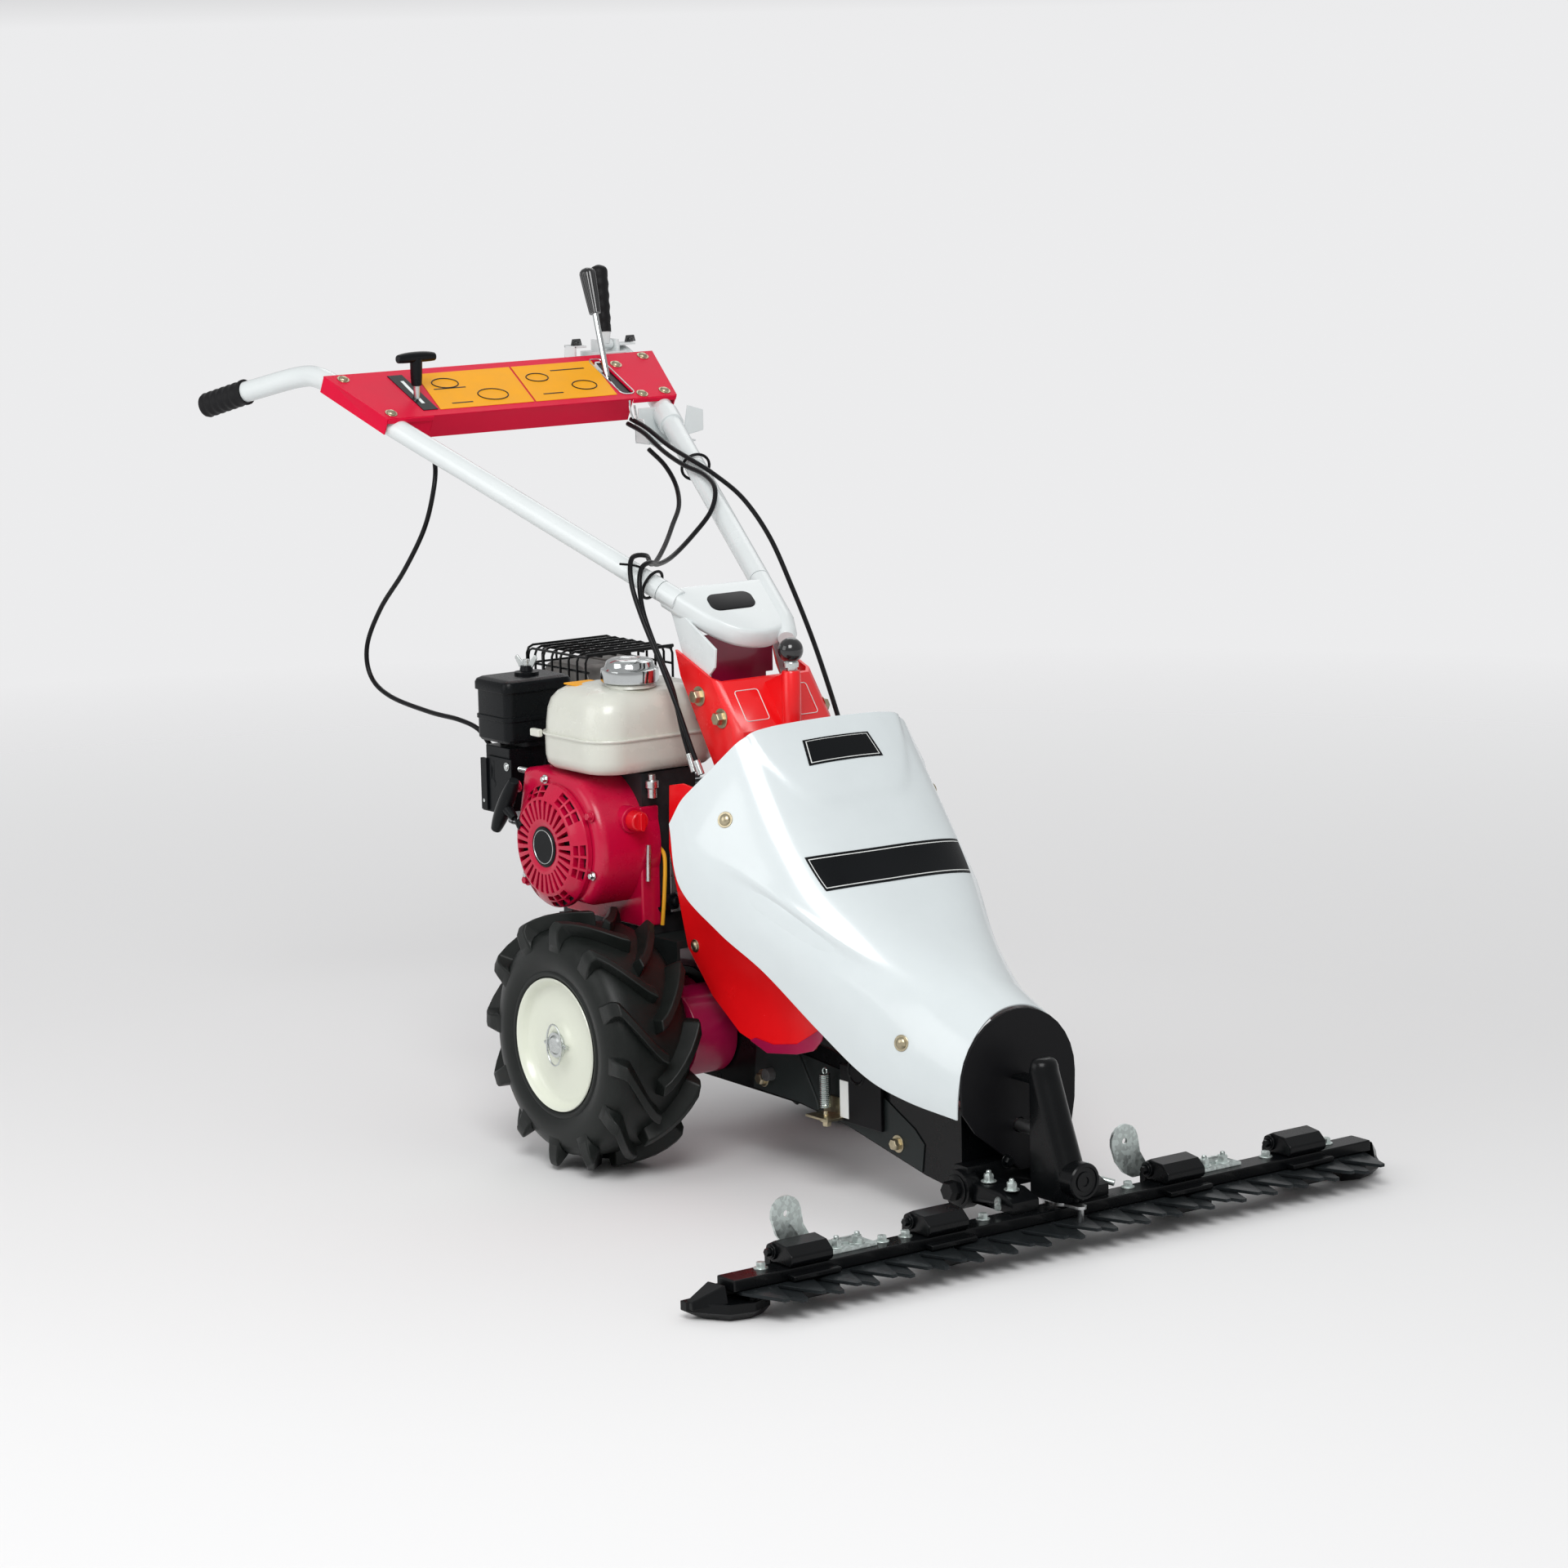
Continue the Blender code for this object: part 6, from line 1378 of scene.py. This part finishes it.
def console():
    """A folded sheet-metal panel with its skirts, plates, slots and screws."""
    pose = Matrix.Translation(CONSOLE) @ Matrix.Rotation(CONSOLE_TILT, 4, "X")
    up = pose.to_3x3() @ Vector((0, 0, 1))
    refined("console", "console_paint", bevel=0.0009)
    lips = []
    lips.append(block((-0.2305, -0.0600, -0.0070), (-0.160, -0.0575, -0.0005)))
    lips.append(block((0.160, -0.0600, -0.0070), (0.2305, -0.0575, -0.0005)))
    gusset = [(-0.2305, -0.0060), (-0.1600, -0.0335), (-0.1600, -0.0060)]
    lips.append(prism(gusset, "Y", -0.0575, -0.0555))
    build("console_lips", moved(joined(*lips), pose), "console_paint", "handlebar", "console_red",
          bevel=0.0008)
    plates = []
    for x0, x1 in ((-0.137, 0.0115), (0.0145, 0.146)):
        slant = 0.020
        plates.append([(x0 + slant * 0.35, 0.044), (x1 + slant * 0.35, 0.044), (x1 - slant * 0.30, -0.046),
                       (x0 - slant * 0.30, -0.046)])
    faces = joined(*[prism(p, "Z", 0.0001, 0.0007) for p in plates])
    build("console_amber_plates", moved(faces, pose), "amber", "handlebar", "yellow_zinc", bevel=0.0003)
    marks = []
    rings = ((-0.100, 0.016, 0.040), (-0.045, -0.020, 0.046), (0.045, 0.012, 0.034), (0.105, -0.016, 0.038))
    for x, y, w in rings:
        ring = [(x + w * 0.5 * math.cos(a), y + w * 0.3 * math.sin(a), 0.0009)
                for a in [2 * math.pi * k / 24 for k in range(24)]]
        marks.append(hoop([Vector(p) for p in ring], 0.0009, 6))
    strokes = ((-0.125, -0.075, 0.003), (-0.118, -0.085, -0.034), (0.075, 0.130, 0.026),
               (0.030, 0.062, -0.030))
    for x0, x1, y in strokes:
        marks.append(block((x0, y - 0.0011, 0.0006), (x1, y + 0.0011, 0.0010)))
    build("console_plate_marks", moved(joined(*marks), pose), "badge_black", "handlebar", "black_plastic")
    slot_plate = [(-0.174, 0.045), (-0.151, 0.045), (-0.146, -0.045), (-0.169, -0.045)]
    build("throttle_slot_plate", moved(prism(slot_plate, "Z", 0.0001, 0.0010), pose), "badge_black",
          "handlebar", "black_plastic", bevel=0.0003)
    slit = block((-0.1625, -0.029, 0.0009), (-0.1575, 0.029, 0.0013))
    build("throttle_slit", moved(slit, pose), "zinc", "handlebar", "machined_steel")
    ring = [(0.161, 0.0408), (0.176, 0.0408), (0.170, -0.0449), (0.152, -0.0449)]
    build("shift_slot_plate", moved(prism(ring, "Z", -0.0030, -0.0022), pose),
          "badge_black", "handlebar", "black_plastic")
    rim = [Vector((x, y, 0.0006)) for x, y in rounded((0.1485, -0.0465), (0.1705, 0.0465), 0.008, 6)]
    build("shift_slot_rim", moved(hoop(rim, 0.0009, 6), pose), "zinc", "handlebar", "machined_steel")
    places = [(pose @ Vector((x, y, 0.0)), up) for x, y in ((-0.241, 0.046), (-0.219, -0.045), (0.241, 0.046),
                                                           (0.219, -0.045), (0.186, 0.030), (0.180, -0.048))]
    fasten("console_screws", pan_screw(0.0062), places, "yellow_zinc", "handlebar", "yellow_zinc")
    nuts = [(p - up * 0.012, -up) for p, _ in places[:4]]
    fasten("console_nuts", nut_on_stud(0.010), nuts, "zinc", "handlebar", "machined_steel")
    # The silver clip and the bracket that hold the cables under the left end.
    clip = smooth([(0.150, 0.394, 0.927), (0.147, 0.389, 0.915), (0.150, 0.386, 0.902), (0.156, 0.390, 0.895),
                   (0.160, 0.394, 0.905), (0.159, 0.396, 0.920)])
    build("cable_clip", sweep(clip, 0.0014, 8), "zinc", "handlebar", "machined_steel")
    shelf = prism([(0.160, 0.398), (0.232, 0.398), (0.236, 0.362), (0.206, 0.342), (0.168, 0.356)], "Z",
                  0.868, 0.8705)
    wall = prism([(0.160, 0.868), (0.232, 0.868), (0.226, 0.915), (0.166, 0.915)], "Y", 0.396, 0.3985)
    saddle = sweep([tube_line(0.362, 1), tube_line(0.390, 1)], 0.0172, 32)
    wing = prism([(0.228, 0.874), (0.262, 0.880), (0.262, 0.908), (0.236, 0.916)], "Y", 0.380, 0.3825)
    cheek = prism([(0.365, 0.868), (0.398, 0.868), (0.398, 0.902), (0.378, 0.902)], "X", 0.160, 0.1625)
    build("tube_clamp", joined(shelf, wall, saddle, wing, cheek), "white_paint", "handlebar", "fork_white",
          bevel=0.0010)
    clamp = [(Vector((0.172, 0.366, 0.8680)), (0, 0, -1)), (Vector((0.196, 0.354, 0.8680)), (0, 0, -1))]
    fasten("clamp_screws", pan_screw(0.005), clamp, "zinc", "handlebar", "machined_steel")


def throttle_lever():
    """A flat stem with a moulded T-shaped head."""
    foot, head = Vector((-0.160, 0.440, 0.935)), Vector((-0.164, 0.432, 1.003))
    stem = sweep([foot, foot.lerp(head, 0.35), head], [0.0042, 0.0042, 0.0052], 20)
    collar = sweep([foot.lerp(head, 0.46), foot.lerp(head, 0.64), head], [0.0070, 0.0078, 0.0084], 20)
    rows = []
    for k in range(15):
        t = 2 * k / 14 - 1
        half = 0.0078 * (1 - 0.25 * abs(t) ** 3)
        centre = head + Vector((0.030 * t, 0.002 * t, 0.0012 * (1 - t * t)))
        rows.append([centre + Vector((0, half * 1.0 * math.cos(a), half * 0.92 * math.sin(a)))
                     for a in [2 * math.pi * j / 20 for j in range(20)]])
    build("throttle_lever_head", joined(collar, loft(rows)), "black_plastic", "throttle_lever", "lever_black",
          "throttle_lever", bevel=0.0012, crease=40)
    build("throttle_stem", stem, "zinc", "throttle_lever", "machined_steel")


def shift_lever():
    """A plated rod with a long fluted knob."""
    foot, head = Vector((0.158, 0.452, 0.935)), Vector((0.171, 0.520, 1.100))
    up = (head - foot).normalized()
    build("shift_rod", sweep([foot, head - up * 0.058], 0.0042, 20), "chrome", "shift_lever",
          "machined_steel", "shift_lever")
    side = up.orthogonal().normalized()
    over = up.cross(side)
    rows = []
    for k in range(25):
        share = k / 24
        base = 0.0078 + 0.0040 * share ** 0.8
        if share > 0.86:
            base *= math.sqrt(max(0.03, 1 - ((share - 0.86) / 0.141) ** 2))
        row = []
        for j in range(72):
            angle = 2 * math.pi * j / 72
            flute = 1 - 0.085 * max(0.0, math.cos(9 * angle)) * (1 if share < 0.86 else 0.3)
            outward = side * math.cos(angle) + over * math.sin(angle)
            row.append(head - up * 0.066 * (1 - share) + outward * base * flute)
        rows.append(row)
    build("shift_knob", loft(rows), "ball_plastic", "shift_lever", "lever_black", crease=50)


def clutch():
    """The dead-man lever, its white collar and the housing that carries it."""
    refined("lever_housing", "white_paint", bevel=0.0014, segments=3)
    up = (CLUTCH_HEAD - CLUTCH_PIVOT).normalized()
    pin = [(0.1941, CLUTCH_PIVOT.y, CLUTCH_PIVOT.z), (0.2159, CLUTCH_PIVOT.y, CLUTCH_PIVOT.z)]
    collar = [CLUTCH_PIVOT, CLUTCH_PIVOT + up * 0.010, CLUTCH_PIVOT + up * 0.018]
    base = joined(sweep(pin, 0.0062, 24), sweep(collar, [0.0075, 0.0085, 0.0100], 24))
    build("clutch_lever_base", base, "white_paint", "clutch_lever", "fork_white", bevel=0.001)
    count = 40
    route = [(CLUTCH_PIVOT + up * 0.0165).lerp(CLUTCH_HEAD, k / count) for k in range(count + 1)]
    radii = []
    for k in range(count + 1):
        share = k / count
        radius = 0.0104 + 0.0022 * share + 0.0005 * math.sin(2 * math.pi * 6 * share) * (0.1 < share < 0.85)
        if share > 0.90:
            radius *= math.sqrt(max(0.03, 1 - ((share - 0.90) / 0.101) ** 2))
        radii.append(radius)
    build("clutch_grip", sweep(route, radii, 28), "grip_rubber", "clutch_lever", "clutch_black",
          "clutch_lever", crease=50)
    wings = []
    for x in (0.163, 0.253):
        knob = lathe([(0, 0), (0.0055, 0), (0.0055, 0.004), (0.0035, 0.006), (0, 0.006)], "Z", (0, 0, 0), 20)
        fin = prism([(-0.0090, 0.0), (0.0090, 0.0), (0.0065, 0.0090), (-0.0065, 0.0090)], "Y", -0.0013,
                    0.0013)
        wings.append(moved(joined(knob, fin), Matrix.Translation((x, 0.538, 0.9935))))
    build("housing_wing_screws", joined(*wings), "ball_plastic", "handlebar", "black_plastic", bevel=0.0008)
    arms = [block((0.152, 0.526, 0.9745), (0.182, 0.551, 0.9775)),
            block((0.152, 0.526, 0.9775), (0.155, 0.551, 0.9935)),
            block((0.152, 0.526, 0.9905), (0.172, 0.551, 0.9935))]
    build("housing_arms", joined(*arms), "white_paint", "handlebar", "fork_white", bevel=0.0006)


# Cables


CABLES = {
    "throttle_cable": [(-0.172, 0.400, 0.895), (-0.178, 0.372, 0.868), (-0.190, 0.360, 0.832), (-0.195,
                                                                                                0.378, 0.782),
                       (-0.200, 0.423, 0.724), (-0.200, 0.484, 0.669), (-0.200, 0.522, 0.615),
                       (-0.200, 0.515, 0.574), (-0.200, 0.467, 0.552), (-0.197, 0.376, 0.541),
                       (-0.194, 0.310, 0.538), (-0.187, 0.275, 0.529), (-0.176, 0.265, 0.509),
                       (-0.170, 0.2485, 0.495)],
    "knife_cable": [(0.150, 0.392, 0.902), (0.150, 0.355, 0.892), (0.147, 0.300, 0.872), (0.1455, 0.250,
                                                                                          0.858),
                    (0.151, 0.205, 0.841), (0.158, 0.150, 0.812), (0.160, 0.095, 0.765), (0.154, 0.040,
                                                                                          0.704),
                    (0.140, -0.020, 0.645), (0.120, -0.080, 0.590), (0.100, -0.135, 0.538),
                    (0.088, -0.170, 0.502)],
    "drive_cable": [(0.143, 0.390, 0.8965), (0.143, 0.352, 0.886), (0.139, 0.302, 0.8655), (0.137, 0.255,
                                                                                            0.851),
                    (0.136, 0.205, 0.841), (0.126, 0.168, 0.826), (0.102, 0.145, 0.800), (0.060, 0.130,
                                                                                          0.772),
                    (0.010, 0.105, 0.752), (-0.040, 0.066, 0.750), (-0.076, 0.032, 0.7585),
                    (-0.096, 0.022, 0.754), (-0.107, 0.012, 0.735), (-0.109, 0.002, 0.700),
                    (-0.106, -0.020, 0.655), (-0.101, -0.045, 0.609), (-0.100, -0.066, 0.551),
                    (-0.098, -0.085, 0.506)],
    "safety_cable": [(0.160, 0.366, 0.862), (0.164, 0.335, 0.842), (0.160, 0.305, 0.818), (0.138, 0.268,
                                                                                           0.795),
                     (0.100, 0.230, 0.775), (0.056, 0.185, 0.757), (0.010, 0.140, 0.744), (-0.036, 0.088,
                                                                                           0.748),
                     (-0.072, 0.046, 0.7655), (-0.104, 0.032, 0.766), (-0.118, 0.014, 0.738),
                     (-0.118, -0.006, 0.698), (-0.114, -0.040, 0.640), (-0.109, -0.068, 0.585),
                     (-0.105, -0.088, 0.540), (-0.101, -0.104, 0.505)],
}
# Where each cable's run is cut: all above rides on or bends from the handlebar, all below from the chassis.
CABLE_SPLITS = {"throttle_cable": 4, "knife_cable": 8, "drive_cable": 14, "safety_cable": 12}


def cables():
    """Each cable in an upper and a lower length that meet at a point turning with the bracket."""
    for name, route in CABLES.items():
        split = CABLE_SPLITS[name] * 8
        points = smooth(route, 8)
        meet = points[split]
        upper = build(f"{name}_upper", sweep(points[:split + 1], CABLE_RADIUS, 14), "cable_jacket", None,
                      "cable_black", name, crease=60)
        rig.blend(upper, "handlebar", "bracket", start=tuple(points[split // 3]), end=tuple(meet))
        lower = build(f"{name}_lower", sweep(points[split:], CABLE_RADIUS, 14), "cable_jacket", None,
                      "cable_black", crease=60)
        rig.blend(lower, "bracket", "chassis", start=tuple(meet), end=tuple(points[-6]))
        ferrule = sweep([points[-5], points[-1]], 0.0048, 16)
        build(f"{name}_ferrule", ferrule, "zinc", "chassis", "machined_steel", crease=40)


def cable_ties():
    """Black ties round the tubes and cables, with their cut-off tails."""
    ties = []
    for centre, normal, radius in ((tube_line(0.262, 1), TUBE_HEAD - TUBE_FOOT, 0.0190),
                                   (tube_line(0.020, -1), Vector((-0.16, 0.45, 0.212)), 0.0190)):
        pose = toward(centre, normal)
        ring = [pose @ Vector((radius * math.cos(a), radius * math.sin(a), 0))
                for a in [2 * math.pi * k / 36 for k in range(36)]]
        ties.append(hoop(ring, 0.0020, 8))
    root = tube_line(0.020, -1)
    tail = smooth([root + Vector((-0.012, 0.0, 0.022)), root + Vector((-0.026, 0.004, 0.027)),
                   root + Vector((-0.044, 0.008, 0.030))])
    ties.append(sweep(tail, 0.0015, 8))
    build("cable_ties", joined(*ties), "matt_black", "handlebar", "black_plastic")


# Stage

WORLD_BELOW = 0.84
WORLD_ABOVE = 0.44
# Each lamp's name, place, size and power.
LAMPS = (("key", (-2.5, -3.0, 4.0), 2.4, 146), ("fill", (-3.6, 0.6, 2.0), 2.2, 27),
         ("back", (2.6, 2.8, 3.6), 2.6, 26))


def faded_floor():
    """Matt pale paint that fades out with distance, so the floor has no edge."""
    paint = bpy.data.materials.new("floor_paint")
    paint.use_nodes = True
    tree = paint.node_tree
    principled = tree.nodes["Principled BSDF"]
    principled.inputs["Base Color"].default_value = (0.84, 0.84, 0.84, 1)
    principled.inputs["Roughness"].default_value = 0.9
    principled.inputs["Specular IOR Level"].default_value = 0.1
    place = node_of(tree, "ShaderNodeTexCoord")
    length = node_of(tree, "ShaderNodeVectorMath", operation="LENGTH")
    share = node_of(tree, "ShaderNodeMapRange")
    share.inputs["From Min"].default_value, share.inputs["From Max"].default_value = 1.3, 4.5
    clear = node_of(tree, "ShaderNodeBsdfTransparent")
    mix = node_of(tree, "ShaderNodeMixShader")
    tree.links.new(place.outputs["Object"], length.inputs[0])
    tree.links.new(length.outputs["Value"], share.inputs["Value"])
    tree.links.new(share.outputs["Result"], mix.inputs["Fac"])
    tree.links.new(principled.outputs["BSDF"], mix.inputs[1])
    tree.links.new(clear.outputs["BSDF"], mix.inputs[2])
    tree.links.new(mix.outputs["Shader"], tree.nodes["Material Output"].inputs["Surface"])
    return paint


def studio_world():
    """Even pale surroundings: brighter below, where the floor fades into it, and softer above."""
    world = bpy.data.worlds.new("studio")
    world.use_nodes = True
    tree = world.node_tree
    place = node_of(tree, "ShaderNodeTexCoord")
    axes = node_of(tree, "ShaderNodeSeparateXYZ")
    ramp = node_of(tree, "ShaderNodeValToRGB")
    share = node_of(tree, "ShaderNodeMapRange")
    share.inputs["From Min"].default_value, share.inputs["From Max"].default_value = -1.0, 1.0
    stops = ((0.0, WORLD_BELOW), (0.496, WORLD_BELOW), (0.506, WORLD_ABOVE), (1.0, WORLD_ABOVE * 1.25))
    while len(ramp.color_ramp.elements) < len(stops):
        ramp.color_ramp.elements.new(0.5)
    for element, (position, level) in zip(ramp.color_ramp.elements, stops):
        element.position = position
        element.color = (level, level, level * 1.01, 1)
    tree.links.new(place.outputs["Generated"], axes.inputs["Vector"])
    tree.links.new(axes.outputs["Z"], share.inputs["Value"])
    tree.links.new(share.outputs["Result"], ramp.inputs["Fac"])
    tree.links.new(ramp.outputs["Color"], tree.nodes["Background"].inputs["Color"])
    tree.nodes["Background"].inputs["Strength"].default_value = 1.0
    bpy.context.scene.world = world


def floor_and_light():
    floor = bpy.data.meshes.new("floor")
    floor.from_pydata([(-30, -30, -0.0005), (30, -30, -0.0005), (30, 30, -0.0005), (-30, 30, -0.0005)], [],
                      [(0, 1, 2, 3)])
    stage = bpy.data.objects.new("floor", floor)
    bpy.context.scene.collection.objects.link(stage)
    floor.materials.append(faded_floor())
    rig.stage(stage)
    studio_world()
    for name, place, size, power in LAMPS:
        light = bpy.data.lights.new(name, "AREA")
        light.size = size
        light.energy = power
        lamp = bpy.data.objects.new(name, light)
        lamp.matrix_world = toward(place, Vector(place) - Vector((0, 0, 0.4)))
        bpy.context.scene.collection.objects.link(lamp)
    bpy.context.scene.view_settings.view_transform = "Standard"


def camera():
    """The photograph's view: a long lens from ahead and to the right of the machine."""
    yaw, pitch, roll = math.radians(-36.49), math.radians(-9.74), math.radians(-1.21)
    ahead = Vector((-math.sin(yaw) * math.cos(pitch), math.cos(yaw) * math.cos(pitch), math.sin(pitch)))
    level = ahead.cross(Vector((0, 0, 1))).normalized()
    upright = level.cross(ahead)
    right = level * math.cos(roll) + upright * math.sin(roll)
    up = upright * math.cos(roll) - level * math.sin(roll)
    lens = bpy.data.cameras.new("camera")
    lens.sensor_width = 36.0
    lens.lens = 108.3
    eye = bpy.data.objects.new("camera", lens)
    turn = Matrix((right, up, -ahead)).transposed().to_4x4()
    eye.matrix_world = Matrix.Translation((-3.483, -4.850, 1.491)) @ turn
    bpy.context.scene.collection.objects.link(eye)
    bpy.context.scene.camera = eye


def main():
    camera()
    floor_and_light()
    cables()
    cable_ties()
    tyres()
    rims()
    axle()
    gearbox()
    main_frame()
    engine_bridge()
    nose()
    drive_cover()
    cutter_bar()
    knives()
    spring()
    belt_drive()
    belt_guard()
    hood()
    engine()
    fan_cover()
    recoil()
    starter_grip()
    fuel_tank()
    fuel_cap()
    air_cleaner()
    carburettor()
    muffler()
    wire_guard()
    engine_switch()
    bracket()
    lock_knob()
    fork()
    handle_tubes()
    grips()
    console()
    throttle_lever()
    shift_lever()
    clutch()


main()
sizes = {"cad": [list(corner) for corner in CAD_BOX], "visual": [list(corner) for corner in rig.bounds()]}
with open("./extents.json", "w") as report:
    json.dump(sizes, report)
